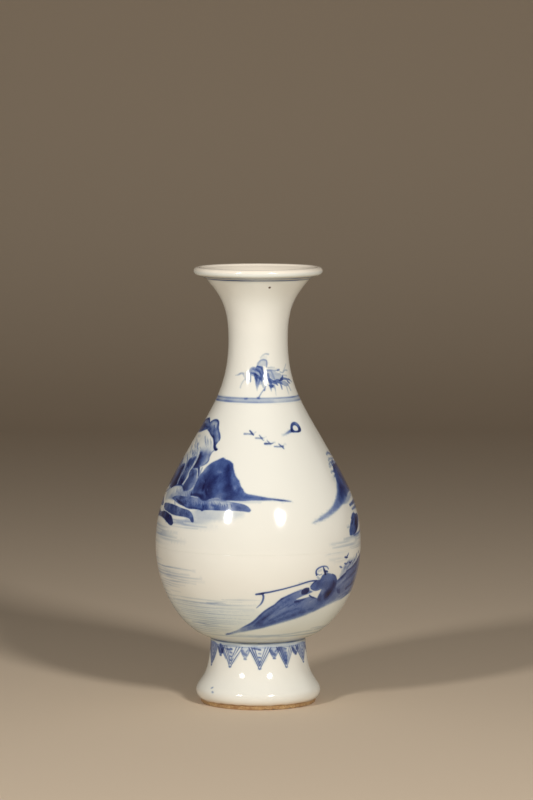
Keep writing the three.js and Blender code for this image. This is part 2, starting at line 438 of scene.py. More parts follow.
    def split(self, need, strictness):
        """Triangles of grid points, halved wherever the long edge would miss by more than is allowed."""
        row_count = len(self.profile) - 1 if self.open_rows else len(self.profile)
        k, m = np.meshgrid(np.arange(row_count // GRID_TILE), np.arange(self.columns // GRID_TILE),
                           indexing="ij")
        k, m = k.ravel(), m.ravel()
        i0, j0 = k * GRID_TILE, m * GRID_TILE
        i1, j1 = i0 + GRID_TILE, j0 + GRID_TILE
        even = (k + m) % 2 == 0
        first = np.stack([i0, np.where(even, j0, j1)], 1)
        other = np.stack([i1, np.where(even, j1, j0)], 1)
        sides = np.stack([i0, np.where(even, j1, j0)], 1), np.stack([i1, np.where(even, j0, j1)], 1)
        active = np.concatenate([np.stack([first, other, s], 1) for s in sides])
        kept = []
        for _ in range(2 * int(math.log2(GRID_TILE))):
            middle = (active[:, 0] + active[:, 1]) // 2
            where = middle[:, 0] if self.open_rows else middle[:, 0] % row_count
            halve = need[where, middle[:, 1] % self.columns] > strictness
            kept.append(active[~halve])
            a, b, c, m = active[halve, 0], active[halve, 1], active[halve, 2], middle[halve]
            active = np.concatenate([np.stack([c, a, m], 1), np.stack([b, c, m], 1)])
        kept.append(active)
        corners = np.concatenate(kept)
        a, b, c = corners[:, 0], corners[:, 1], corners[:, 2]
        turned = (b[:, 1] - a[:, 1]) * (c[:, 0] - a[:, 0]) - (b[:, 0] - a[:, 0]) * (c[:, 1] - a[:, 1])
        corners[turned < 0] = corners[turned < 0][:, [0, 2, 1]]
        return corners


def node(tree, kind, sockets=None, **settings):
    """A shader node with its settings, and its sockets set to a value or linked to another node's."""
    made = tree.nodes.new(kind)
    for key, value in settings.items():
        setattr(made, key, value)
    for key, value in (sockets or {}).items():
        if isinstance(value, bpy.types.NodeSocket):
            tree.links.new(value, made.inputs[key])
        else:
            made.inputs[key].default_value = value
    return made


def maths(tree, operation, a, b, c=0.5, clamp=False):
    """The result of a maths node. Only MULTIPLY_ADD, a * b + c, uses the third number."""
    made = node(tree, "ShaderNodeMath", {0: a, 1: b, 2: c}, operation=operation, use_clamp=clamp)
    return made.outputs[0]


def blend(tree, share, a, b, blend_type="MIX"):
    """A mix of two colours, which are inputs 6 and 7 of the node and its output 2."""
    mixed = node(tree, "ShaderNodeMix", {0: share, 6: a, 7: b}, data_type="RGBA", blend_type=blend_type)
    return mixed.outputs[2]


def colour_steps(tree, share, steps):
    """A colour ramp through (position, linear colour) steps."""
    ramp = node(tree, "ShaderNodeValToRGB", {"Fac": share})
    elements = ramp.color_ramp.elements
    elements[0].position, elements[1].position = steps[0][0], steps[-1][0]
    elements[0].color, elements[1].color = (*steps[0][1], 1), (*steps[-1][1], 1)
    for position, colour in steps[1:-1]:
        elements.new(position).color = (*colour, 1)
    return ramp.outputs["Color"]


def group(name, inputs, outputs):
    """An empty shader group with named inputs, as (name, kind, default), and outputs, as (name, kind)."""
    made = bpy.data.node_groups.new(name, "ShaderNodeTree")
    for label, kind, value in inputs:
        socket = made.interface.new_socket(label, in_out="INPUT", socket_type="NodeSocket" + kind)
        socket.default_value = value
    for label, kind in outputs:
        made.interface.new_socket(label, in_out="OUTPUT", socket_type="NodeSocket" + kind)
    return made, made.nodes.new("NodeGroupInput"), made.nodes.new("NodeGroupOutput")


GLAZE = (0.80, 0.77, 0.675, 1)
POOLED_GLAZE = (0.755, 0.81, 0.74, 1)
# Thin glaze is warmer where the clay shows, and lighter, which also paints light on the lip and mouth.
THIN_GLAZE_AND_LIGHT = (0.94, 0.83, 0.675, 1)
GLAZE_IOR = 1.48
HEAPED_COBALT = (0.013, 0.008, 0.036, 1)
IRON = (0.09, 0.045, 0.02, 1)
PIGMENT_STRENGTH = 0.78

# Cobalt ground in water, brushed on the raw clay and seen through the glaze: grey-blue where thin,
# strong blue where full, and almost black with a violet cast where it heaped up.
cobalt_colour, given, result = group(
    "cobalt_under_glaze",
    [("Glaze", "Color", GLAZE), ("Density", "Float", 0), ("Violet", "Float", 0)],
    [("Color", "Color")],
)
here = node(cobalt_colour, "ShaderNodeTexCoord").outputs["Object"]
grain = node(cobalt_colour, "ShaderNodeTexNoise",
             {"Vector": here, "Scale": 1500, "Detail": 3, "Roughness": 0.6})
drift = node(cobalt_colour, "ShaderNodeTexNoise", {"Vector": here, "Scale": 260, "Detail": 2})
speckled = maths(cobalt_colour, "MULTIPLY_ADD", grain.outputs[0], 0.34, 0.83)
drifted = maths(cobalt_colour, "MULTIPLY_ADD", drift.outputs[0], 0.3, 0.85)
uneven = maths(cobalt_colour, "MULTIPLY", speckled, drifted)
laid = maths(cobalt_colour, "MULTIPLY", given.outputs["Density"], uneven)
depth = maths(cobalt_colour, "MULTIPLY", laid, PIGMENT_STRENGTH)
pigment = colour_steps(
    cobalt_colour,
    depth,
    [
        (0.0, (1.0, 1.0, 1.0)),
        (0.08, (0.785, 0.83, 0.885)),
        (0.20, (0.465, 0.545, 0.725)),
        (0.36, (0.205, 0.278, 0.545)),
        (0.54, (0.082, 0.138, 0.395)),
        (0.72, (0.032, 0.055, 0.225)),
        (0.87, (0.014, 0.021, 0.115)),
        (1.0, (0.007, 0.008, 0.052)),
    ],
)
tinted = blend(cobalt_colour, 1.0, given.outputs["Glaze"], pigment, "MULTIPLY")
heaped = maths(cobalt_colour, "MULTIPLY", given.outputs["Violet"], depth, clamp=True)
cobalt_colour.links.new(blend(cobalt_colour, heaped, tinted, HEAPED_COBALT), result.inputs["Color"])

# The skin of a wood-fired porcelain glaze: barely wavy, with a fine orange-peel, and here and there a
# pinhole with a speck of iron in it.
glaze_skin, given, result = group(
    "glaze_skin",
    [("Pinholes", "Float", 0.5)],
    [("Height", "Float"), ("Roughness", "Float"), ("Speck", "Float")],
)
here = node(glaze_skin, "ShaderNodeTexCoord").outputs["Object"]
swell = node(glaze_skin, "ShaderNodeTexNoise", {"Vector": here, "Scale": 55, "Detail": 1})
peel = node(glaze_skin, "ShaderNodeTexNoise", {"Vector": here, "Scale": 900, "Detail": 2})
smear = node(glaze_skin, "ShaderNodeTexNoise", {"Vector": here, "Scale": 120, "Detail": 3})
cells = node(glaze_skin, "ShaderNodeTexVoronoi", {"Vector": here, "Scale": 190})
lone = node(glaze_skin, "ShaderNodeSeparateColor", {"Color": cells.outputs["Color"]}).outputs["Red"]
chosen = maths(glaze_skin, "LESS_THAN", lone, maths(glaze_skin, "MULTIPLY", given.outputs["Pinholes"], 0.04))
near = node(glaze_skin, "ShaderNodeMapRange",
            {"Value": cells.outputs["Distance"], 1: 0.03, 2: 0.07, 3: 1.0, 4: 0.0})
speck = maths(glaze_skin, "MULTIPLY", chosen, near.outputs[0])
glaze_skin.links.new(speck, result.inputs["Speck"])
wavy = maths(glaze_skin, "MULTIPLY_ADD", peel.outputs[0], 0.012, swell.outputs[0])
pitted = maths(glaze_skin, "MULTIPLY_ADD", speck, -0.08, wavy)
glaze_skin.links.new(pitted, result.inputs["Height"])
rough = node(glaze_skin, "ShaderNodeMapRange",
             {"Value": smear.outputs[0], 1: 0.3, 2: 0.75, 3: 0.075, 4: 0.125})
glaze_skin.links.new(rough.outputs[0], result.inputs["Roughness"])


def glazed(name, pinholes=0.5):
    """Painted porcelain under a clear glaze, with the tree and the sockets that a piece may add to."""
    made = bpy.data.materials.new(name)
    made.use_nodes = True
    tree = made.node_tree
    shader = tree.nodes["Principled BSDF"]
    painted = {
        label: node(tree, "ShaderNodeAttribute", attribute_name=label).outputs["Fac"]
        for label in ("cobalt", "violet", "thickness")
    }
    colour = node(tree, "ShaderNodeGroup", node_tree=cobalt_colour)
    pooled = blend(tree, painted["thickness"], GLAZE, POOLED_GLAZE)
    # Below 0 the thickness lays on the warmer, lighter thin glaze; the lighter part is painted light.
    thinness_and_light = maths(tree, "MULTIPLY", painted["thickness"], -1)
    tree.links.new(blend(tree, thinness_and_light, pooled, THIN_GLAZE_AND_LIGHT), colour.inputs["Glaze"])
    tree.links.new(painted["cobalt"], colour.inputs["Density"])
    tree.links.new(painted["violet"], colour.inputs["Violet"])
    skin = node(tree, "ShaderNodeGroup", node_tree=glaze_skin)
    skin.inputs["Pinholes"].default_value = pinholes
    seen = blend(tree, skin.outputs["Speck"], colour.outputs["Color"], IRON)
    bump = node(tree, "ShaderNodeBump",
                {"Height": skin.outputs["Height"], "Strength": 0.35, "Distance": 0.001})
    tree.links.new(seen, shader.inputs["Base Color"])
    tree.links.new(skin.outputs["Roughness"], shader.inputs["Roughness"])
    tree.links.new(bump.outputs["Normal"], shader.inputs["Normal"])
    shader.inputs["IOR"].default_value = GLAZE_IOR
    return made, tree, shader, seen, skin, bump


def fitted(piece, material, cad_node):
    """Gives a piece its finish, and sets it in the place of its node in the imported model."""
    piece.data.materials.append(material)
    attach(piece, "root")
    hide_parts(cad_node)


FOOT_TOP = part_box("foot")[1].z / MM
BELLY_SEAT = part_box("lower_belly")[0].z / MM
joint_middle = (FOOT_TOP + BELLY_SEAT) / 2
JOIN_R = 24.0
BORE_R = 20.3
SLIP_R = 23.2
rim_inside, rim_outside, rim_corner = (25.9, 0.0), (28.3, 0.0), (29.0, 1.0)
glaze_edge = (29.7, 2.4)
bead = (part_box("foot")[1].x / MM, 6.3)
splay = (29.8, 10.0)
foot_join = (JOIN_R, FOOT_TOP)
foot_outside = joined(
    bezier(glaze_edge, held(glaze_edge, 49, 1.5), held(bead, 0, -1.6), bead),
    bezier(bead, held(bead, 0, 1.4), held(splay, -33.4, -1.45), splay),
    bezier(splay, held(splay, -33.4, 4.8), held(foot_join, -2.6, -15.3), foot_join),
    np.array([foot_join, (JOIN_R, joint_middle)]),
)
foot_mouth = (25.2, 1.0)
foot_bore = bezier((BORE_R, FOOT_TOP), (BORE_R, FOOT_TOP - 14), held(foot_mouth, -10, 9.1), foot_mouth)
foot_seat = np.array([
    (JOIN_R, joint_middle), (SLIP_R, joint_middle), (SLIP_R, FOOT_TOP), (BORE_R, FOOT_TOP)
])
foot = Wall(
    1024,
    [
        (np.array([rim_inside, rim_outside]), HIDDEN_ROWS),
        (bezier(rim_outside, (28.9, 0), (28.9, 0.5), rim_corner), EDGE_ROWS),
        (bezier(rim_corner, (29.1, 1.7), (29.15, 2.1), glaze_edge), EDGE_ROWS),
        (foot_outside, PAINTED_ROWS),
        (foot_seat, HIDDEN_ROWS),
        (foot_bore, BORE_ROWS),
        (np.array([foot_mouth, (25.4, 0.4), rim_inside]), 0.2),
    ],
    painted=(1, 3),
)

# The glaze stops in a slightly wandering edge. Below it the clay is bare and chipped in places.
turn_mm = np.linspace(0, 2 * math.pi, foot.columns, endpoint=False)[None] * bead[0]
level = foot.profile[:, 1:]
outer_face = foot.profile[:, :1] > 25.5
wander = unevenness(turn_mm / 3.1, turn_mm * 0, 4) - 0.5
edge = glaze_edge[1] - 0.1 + 0.5 * wander + 0.12 * np.sin(turn_mm / 9)
foot.bare[:] = fade(0.22, -0.22, level - edge)
foot.warm[:] = np.where(outer_face, np.exp(-np.clip(level - edge, 0, 9) / 0.9), 0)
bite = fade(0.62, 0.85, unevenness(turn_mm / 1.7, level / 1.3, 11))
grit = unevenness(turn_mm / 0.45, level / 0.4, 12) - 0.5
rim = fade(1.5, 0.4, level) * fade(26.6, 28.2, foot.profile[:, :1])
foot.relief[:] = -rim * (0.34 * bite) + foot.bare * 0.05 * grit * fade(0.02, 0.3, level)

# Lappets: each is outlined, filled with a thin wash and combed with a finer brush, no two alike.
# The numbers are the place and height of the tip, the two top corners, and how full the brush was.
LAPPET_TOP = 30.7
LAPPET_PITCH = 32.4
front_lappets = [
    (-68.5, 19.6, -85, -56.5, 0.56, 0.54, 0.38),
    (-34.2, 20.4, -47.5, -19, 0.56, 0.52, 0.12),
    (1.8, 20.0, -11, 15.5, 0.56, 0.50, 0.11),
    (34.5, 20.3, 22.5, 47, 0.54, 0.42, 0.12),
    (66.0, 21.3, 51.0, 78.0, 0.52, 0.50, 0.28),
]
back_lappets = []
for k in range(6):
    turned = LAPPET_PITCH * k
    low, fill = 20.4 + 0.7 * math.sin(5 * k), 0.12 + 0.08 * (k % 3)
    back_lappets.append((98 + turned, low, 84.5 + turned, 111.5 + turned, 0.46, 0.38, fill))
for k, (tip, low, left, right, left_load, right_load, fill) in enumerate(front_lappets + back_lappets):
    top = LAPPET_TOP
    panel = [(left + 1, top), (right - 1, top), (tip, low + 1)]
    foot.wash(panel, fill, feather=0.5, mottle=0.4, violet=0.3, seed=20 + k)
    for inset, share in ((0, 1.0), (0.25, 0.9), (0.5, 0.85)):
        for corner, load in ((left, left_load), (right, right_load)):
            start, end = corner + (tip - corner) * inset, low + 0.3 + 6.4 * inset
            across = 0.62 + 0.05 * math.sin(k + 4 * inset)
            middle = start + (tip - start) * across, end + (top - end) * 0.34
            marks = [(start, top), middle, (tip + (corner - tip) * 0.03, end - 0.2)]
            loads = (load * share, load * share, load * share * 0.85)
            foot.stroke(marks, (0.55, 0.45, 0.5), loads, soft=0.18, violet=0.7)
    for step in range(4):
        z = top - 1.1 - 1.9 * step
        load = 0.42 + 0.08 * math.sin(3 * step + k)
        foot.stroke([(tip - 1, z + 0.15), (tip + 1.1, z)], 0.8, load, soft=0.25)
    foot.stroke([(tip - 1.3, low + 0.35), (tip, low + 0.1), (tip + 1.3, low + 0.35)], 0.8, 0.3, soft=0.25)

# The leaf that shows between each pair of lappets.
gaps = [(-50.5, 25.6, 0.6), (-15.4, 24.8, 0.4), (19.3, 25.1, 0.5), (50.5, 26.2, 0.58)]
gaps += [
    (82.0 + LAPPET_PITCH * k, 25.2 + 0.5 * math.cos(3 * k), 0.46 + 0.07 * (k % 3))
    for k in range(7)
]
for k, (tip, low, load) in enumerate(gaps):
    leaf = [(tip - 6, 30.4), (tip + 6, 30.4), (tip, low + 0.6)]
    foot.wash(leaf, load * 0.45, feather=0.5, mottle=0.5, violet=0.2, seed=50 + k)
    fading = (load, load * 0.7, load * 0.5)
    sides_and_tip = [
        ([(tip - 5.6, 29.8), (tip - 3.4, 27.2), (tip, low + 0.3)], 0.7, fading),
        ([(tip + 5.6, 29.6), (tip + 3.2, 27.2), (tip, low + 0.3)], 0.7, fading),
        ([(tip - 1, low + 0.2), (tip + 1.2, low + 0.1)], 0.9, load * 0.8),
    ]
    foot.strokes(sides_and_tip, soft=0.3, violet=0.6)
    foot.stroke([(tip - 3.6, 29), (tip - 2, 27.8), (tip + 0.6, 27.2)], 1.7, load * 0.9, soft=0.4, violet=0.5)
    foot.stroke([(tip + 3.6, 29.6), (tip + 1.6, 28.6)], 0.9, load * 0.9, soft=0.3)

# What is particular to the front: one lappet filled in heavily, a heaped dark corner and a lost light.
foot.wash(
    [(22.4, 30.5), (34, 30.3), (36.4, 27), (36.2, 23.4), (34.4, 21.6), (30.4, 24.6), (26.4, 28.4)],
    [(24, 30, 0.5, 0.5), (30, 28.6, 0.4, 0.6), (27.5, 28.4, 0.46, 0.6), (31, 26, 0.46, 0.4),
     (35, 29, 0.3, 0.4), (34.2, 23.4, 0.52), (33, 24.8, 0.5)],
    feather=0.5, mottle=0.25, seed=3,
)
foot.stroke([(-51.5, 30.6), (-49.5, 29.4), (-47.6, 27.8)], 2, 0.66, soft=0.35)
foot.stroke([(-48.5, 28.8), (-44, 26.4), (-41, 24.6)], 1, (0.7, 0.5, 0.3), soft=0.3)
foot.stroke([(-40.5, 29.4), (-36, 29.2), (-32.6, 29.4)], 1, (0.5, 0.56, 0.4), soft=0.3)
foot.stroke([(-30.2, 25.4), (-26, 27.4), (-21, 29.9)], 0.9, 0.6, soft=0.4, lift=True)
foot.stroke([(1.4, 23.6), (2, 22.2)], 0.8, 0.36, soft=0.25)
foot.stroke([(-6.4, 30.4), (-2, 30.1), (2.4, 29.8)], 0.9, 0.42, soft=0.3, violet=0.6)
foot.stroke([(-8.6, 29.4), (-5, 27.6), (-2.4, 25.4)], 1.6, (0.2, 0.26, 0.14), soft=0.4, violet=0.8)
foot.stroke([(-38.6, 28.6), (-34.6, 27.8), (-30.6, 26.8)], 1.5, (0.16, 0.22, 0.12), soft=0.4, violet=0.8)
foot.ring(30.6, 0.6, 0.30, seed=2)
foot.ring(31.5, 1.5, 0.17, seed=3, soft=0.5)
foot.stroke([(-51, 9.6), (-49.5, 9.9)], 0.8, 0.4, soft=0.4)
foot.stroke([(-48, 8), (-46.5, 7.8)], 0.9, 0.32, soft=0.4)

foot.thickness[:] = 0.4 * fade(28, 32, foot.profile[:, 1:])
foot_glaze, tree, shader, seen, skin, bump = glazed("foot_glaze")

# Bare fired clay: sandy grains, scorched darker where it meets the glaze.
SCORCHED_CLAY = (0.26, 0.12, 0.045, 1)
FLUSHED_GLAZE = (0.62, 0.36, 0.14, 1)
BURNT_EDGE = (0.12, 0.055, 0.02, 1)
PALE_SLIP = (0.74, 0.70, 0.61, 1)
kiln_clay, given, result = group(
    "bare_fired_clay", [("Scorch", "Float", 0.5)], [("Color", "Color"), ("Height", "Float")]
)
here = node(kiln_clay, "ShaderNodeTexCoord").outputs["Object"]
grain = {"Vector": here, "Scale": 1700, "Detail": 4, "Roughness": 0.7}
sand = node(kiln_clay, "ShaderNodeTexNoise", grain)
patch = node(kiln_clay, "ShaderNodeTexNoise", {"Vector": here, "Scale": 300, "Detail": 2})
sands = [
    (0.3, (0.20, 0.095, 0.035)),
    (0.48, (0.44, 0.27, 0.115)),
    (0.62, (0.60, 0.42, 0.21)),
    (0.78, (0.72, 0.60, 0.40)),
]
sandy = colour_steps(kiln_clay, sand.outputs[0], sands)
scorched = node(kiln_clay, "ShaderNodeMapRange", {"Value": patch.outputs[0], 1: 0.35, 2: 0.75})
burnt = maths(kiln_clay, "MULTIPLY", scorched.outputs[0], given.outputs["Scorch"], clamp=True)
kiln_clay.links.new(blend(kiln_clay, burnt, sandy, SCORCHED_CLAY), result.inputs["Color"])
kiln_clay.links.new(sand.outputs[0], result.inputs["Height"])

bare = node(tree, "ShaderNodeAttribute", attribute_name="bare").outputs["Fac"]
warm = node(tree, "ShaderNodeAttribute", attribute_name="warm").outputs["Fac"]
clay = node(tree, "ShaderNodeGroup", node_tree=kiln_clay)
clay.inputs["Scorch"].default_value = 0.7
flushed = blend(tree, maths(tree, "MULTIPLY", warm, 0.42), seen, FLUSHED_GLAZE)
rim_line = colour_steps(tree, bare, [(0.15, (0, 0, 0)), (0.5, (1, 1, 1)), (0.85, (0, 0, 0))])
lipped = blend(tree, bare, flushed, clay.outputs["Color"])
edged = blend(tree, maths(tree, "MULTIPLY", rim_line, 0.8), lipped, BURNT_EDGE)
tree.links.new(edged, shader.inputs["Base Color"])
dull = node(tree, "ShaderNodeMix", {0: bare, 2: skin.outputs["Roughness"], 3: 0.85}, data_type="FLOAT")
tree.links.new(dull.outputs[0], shader.inputs["Roughness"])
grains = maths(tree, "MULTIPLY", clay.outputs["Height"], bare)
gritty = maths(tree, "MULTIPLY_ADD", grains, 0.4, skin.outputs["Height"])
tree.links.new(gritty, bump.inputs["Height"])
fitted(foot.piece("glazed_foot"), foot_glaze, "foot")


# Foot luting
# A ring of slip, clay thinned with water, that joins the foot to the bowl. The glaze has run over it,
# so it shows only inside the hollow of the foot.
slip_clay = bpy.data.materials.new("luting_slip")
slip_clay.use_nodes = True
tree = slip_clay.node_tree
shader = tree.nodes["Principled BSDF"]
clay = node(tree, "ShaderNodeGroup", node_tree=kiln_clay)
clay.inputs["Scorch"].default_value = 0.1
pale = blend(tree, 0.72, clay.outputs["Color"], PALE_SLIP)
tree.links.new(pale, shader.inputs["Base Color"])
shader.inputs["Roughness"].default_value = 0.5
gritty = {"Height": clay.outputs["Height"], "Strength": 0.3, "Distance": 0.0002}
bump = node(tree, "ShaderNodeBump", gritty)
tree.links.new(bump.outputs["Normal"], shader.inputs["Normal"])


def slip_ring(name, corners):
    """A closed ring of slip from the corners of its section."""
    section = [np.array(side, float) for side in zip(corners, corners[1:] + corners[:1])]
    return Wall(512, [(side, HIDDEN_ROWS) for side in section], painted=(0, 0)).piece(name)


foot_seam = slip_ring(
    "foot_seam", [(BORE_R, FOOT_TOP), (SLIP_R, FOOT_TOP), (SLIP_R, BELLY_SEAT), (BORE_R, BELLY_SEAT)]
)
fitted(foot_seam, slip_clay, "foot_luting")


# Lower belly
# The bowl of the vase, thrown with a closed floor and luted to the foot. On it a brush has drawn open
# water in long grey-blue streaks, and a steep bank where a fisherman sits with his rod.
BELLY_Z = (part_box("belly_luting")[0].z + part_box("belly_luting")[1].z) / 2 / MM
NECK_SEAM = (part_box("neck_luting")[0].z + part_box("neck_luting")[1].z) / 2 / MM
BELLY_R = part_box("belly_luting")[1].x / MM
LIP_ROLL = 2.0
LIP_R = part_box("neck")[1].x / MM - LIP_ROLL
LIP_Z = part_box("neck")[1].z / MM - LIP_ROLL
LIP_OVERHANG = 4.55
SLIP = 0.4
SKIN = 1.0
BELLY_WALL, NECK_WALL = 3.7, 3.1
BEAD_HALF, BEAD_REACH = 0.4, 6

bowl_spring = (JOIN_R + 0.3, BELLY_SEAT + 1)
widest = (BELLY_R, BELLY_Z)
shoulder = (35.2, BELLY_Z + 47.5)
waist = (14.9, shoulder[1] + 55.5)
mouth = (LIP_R - LIP_OVERHANG, LIP_Z - 4.3)
outline = joined(
    bezier(bowl_spring, held(bowl_spring, 81, 11.6), held(widest, 0, -26.5), widest, 200),
    bezier(widest, held(widest, 0, 19.9), held(shoulder, -29.4, -17.8), shoulder, 200),
    bezier(shoulder, held(shoulder, -29.4, 24.8), held(waist, 0, -24), waist, 200),
    bezier(waist, held(waist, 0, 16.2), held(mouth, 41, -10.7), mouth, 120),
)
way = np.gradient(outline, axis=0)
way /= np.linalg.norm(way, axis=1)[:, None]
thinned = fade(BELLY_Z, waist[1], outline[:, 1])
wall = BELLY_WALL + (NECK_WALL - BELLY_WALL) * thinned
hollow = np.stack([outline[:, 0] - way[:, 1] * wall, outline[:, 1] + way[:, 0] * wall], 1)
for seam in (BELLY_Z, NECK_SEAM):
    away = np.clip(np.abs(hollow[:, 1] - seam) / BEAD_REACH, 0, 1)
    hollow[:, 0] -= BEAD_HALF * (1 + np.cos(math.pi * away))


def at_height(line, height):
    """The point of an outline at a height."""
    return np.interp(height, line[:, 1], line[:, 0]), height


def between(line, bottom, top):
    """The stretch of an outline between two heights."""
    inner = line[(line[:, 1] > bottom + 0.02) & (line[:, 1] < top - 0.02)]
    return np.vstack([at_height(line, bottom), inner, at_height(line, top)])


underside = np.array([(0, BELLY_SEAT + 1.1), (16.2, BELLY_SEAT + 0.9), (BORE_R, BELLY_SEAT)])
bowl_seat = np.array([
    (BORE_R, BELLY_SEAT), (SLIP_R, BELLY_SEAT), (SLIP_R, joint_middle), (JOIN_R, joint_middle)
])
seat_fillet = np.array([(JOIN_R, joint_middle), (JOIN_R, BELLY_SEAT), (JOIN_R + 0.05, BELLY_SEAT + 0.5)])
bowl_rim = np.array([
    (BELLY_R, BELLY_Z),
    (BELLY_R - SKIN, BELLY_Z),
    (BELLY_R - SKIN, BELLY_Z - SLIP),
    at_height(hollow, BELLY_Z - SLIP),
])
bowl_floor = [(hollow[0, 0] - 6, BELLY_SEAT + 5.75), (0, BELLY_SEAT + 5.7)]
lower = Wall(
    2048,
    [
        (underside, 0.7),
        (bowl_seat, HIDDEN_ROWS),
        (np.vstack([seat_fillet, between(outline, outline[0, 1], BELLY_Z)]), PAINTED_ROWS),
        (bowl_rim, HIDDEN_ROWS),
        (np.vstack([between(hollow, hollow[0, 1], BELLY_Z - SLIP)[::-1], bowl_floor]), INSIDE_ROWS),
    ],
    painted=(2, 2),
    open_rows=True,
)

# Water: a thin wash, and over it long level streaks of a watery brush.
# Each streak is its two ends in degrees, its height, how broad and how full.
lower.wash(
    [(-98, 56), (-66, 55), (-34, 55), (-14, 55), (-4, 54), (1, 52), (-6, 46.4), (-18, 41.4), (-28, 38.6),
     (-50, 38), (-76, 38), (-98, 40)],
    0.035, feather=1.2, mottle=0.2, pool=0, seed=40,
)
for k, (start, end, z, broad, load) in enumerate([
    (-92, -66, 74.4, 0.8, 0.2), (-90, -70, 73.2, 0.8, 0.18), (-86, -38, 71.6, 0.8, 0.36),
    (-84, -50, 70.2, 0.7, 0.16), (-86, -42, 69, 1.3, 0.24), (-88, -34, 67.5, 1.6, 0.26),
    (-78, -32, 66.2, 0.8, 0.22), (-74, -38, 64.8, 1, 0.24), (-84, -44, 63.4, 0.9, 0.2),
    (-80, -50, 62.2, 1, 0.2), (-88, -58, 60.9, 0.9, 0.18), (-78, -48, 59.6, 0.8, 0.12),
    (-88, -60, 58.4, 1, 0.16), (-22, 1, 58, 0.7, 0.22), (-68, -2, 56.9, 0.8, 0.18),
    (-33, -20, 55.8, 1, 0.34), (-66, -1, 55.1, 1.2, 0.26), (-62, -28, 54, 0.8, 0.18), (-68, -2, 53, 1, 0.22),
    (-58, -4, 51.9, 0.7, 0.18), (-66, -6, 50.9, 0.9, 0.2), (-62, -4, 49.8, 0.8, 0.3),
    (-70, -10, 48.7, 1, 0.18), (-64, -4, 47.6, 0.8, 0.28), (-60, -6, 46.5, 0.9, 0.2),
    (-68, -8, 45.4, 0.9, 0.26), (-56, -12, 44.5, 0.9, 0.26), (-57, -30, 43.6, 1, 0.38),
    (-66, -15, 42.5, 1, 0.24), (-68, -20, 41.3, 1, 0.2), (-74, -24, 40.2, 1, 0.24), (-66, -28, 39.1, 1, 0.2),
    (-98, -62, 56.6, 1, 0.24), (-98, -64, 54.2, 1, 0.22), (-100, -66, 52, 1, 0.24),
    (-98, -66, 49.8, 1, 0.22), (-100, -66, 47.6, 1, 0.24), (-96, -68, 45.4, 1, 0.22),
    (-98, -70, 43.2, 1, 0.24), (-98, -72, 41, 1, 0.2), (46, 64, 40.8, 0.9, 0.24), (52, 86, 39.9, 1.4, 0.22),
    (40, 62, 79.6, 0.9, 0.14), (42, 60, 76.6, 0.8, 0.1), (46, 66, 75.4, 0.7, 0.1), (64, 84, 82, 1, 0.2),
]):
    bend = 0.16 * math.sin(k * 2.4)
    long = end - start
    marks = [(start, z - 0.15), (start + long * 0.35, z + bend), (start + long * 0.7, z - bend), (end, z)]
    widths = (broad * 0.5, broad * 0.8, broad * 0.4)
    loads = (load * 0.75, load * 0.92, load * 0.45)
    lower.stroke(marks, widths, loads, soft=0.3, dry=0.06, seed=60 + k)
lower.stroke([(-27, 38.5), (-12, 38.3), (8, 38.3), (22, 38.5), (36, 39.2), (50, 39.6)], (0.8, 1.3, 0.8),
             (0.14, 0.24, 0.16), soft=0.5, dry=0.2, seed=59)

# The bank: one sweep of a full brush up from its tip, darker along the crest, combed along the slope.
lower.wash(
    [(-28.5, 38), (-24, 38.9), (-20, 40.1), (-15.5, 41.3), (-12, 42.7), (-9, 44), (-5, 45.6), (-2, 47.5),
     (1, 49.9), (4, 52), (7, 53.9), (10, 55.3), (12, 57), (14, 58.5), (18, 60.2), (22, 61.7), (26, 62.8),
     (30, 62.6), (36, 60.5), (42, 60), (48, 63), (51.5, 64.6), (54, 66.2), (58, 68.6), (62, 69.9), (67, 71),
     (72, 72.8), (78, 75), (86, 76.8), (94, 77.6), (104, 76), (112, 72), (117, 66), (112, 62), (104, 59.5),
     (94, 58), (84, 57.2), (72, 56.2), (64, 55), (56, 54.2), (50, 53.2), (44, 51.9), (38, 50.3), (32, 48.8),
     (26, 47.5), (20, 46.3), (14, 45.1), (8, 43.9), (3, 42.9), (-3, 42), (-9, 41), (-15, 40.1), (-22, 38.9)],
    [(-25, 38.5, 0.5), (-17, 40.4, 0.36), (-11, 42.4, 0.5), (-5, 43.8, 0.6), (0, 45.8, 0.7), (2, 48.6, 0.78),
     (6, 51, 0.64, 0.2), (9, 53.6, 0.6, 0.2), (14, 56.2, 0.58), (19, 58.6, 0.6), (24, 61.4, 0.52),
     (12, 50.6, 0.6), (20, 53.6, 0.63), (29, 55.6, 0.62), (26, 51.4, 0.68), (16, 48, 0.66), (8, 45.8, 0.66),
     (36, 52.6, 0.6), (33, 56, 0.46, 0.2), (42, 54.6, 0.66, 0.1), (52, 60.5, 0.64, 0.4),
     (56, 57.6, 0.54, 0.4), (60, 63, 0.6, 0.4), (68, 67.5, 0.64, 0.4), (78, 66, 0.68, 0.3), (70, 59, 0.62),
     (84, 73, 0.8), (96, 66, 0.66), (110, 67, 0.5), (54, 64, 0.56, 0.3), (46, 52.9, 0.5)],
    feather=0.75, mottle=0.14, pool=0.04, seed=5,
)
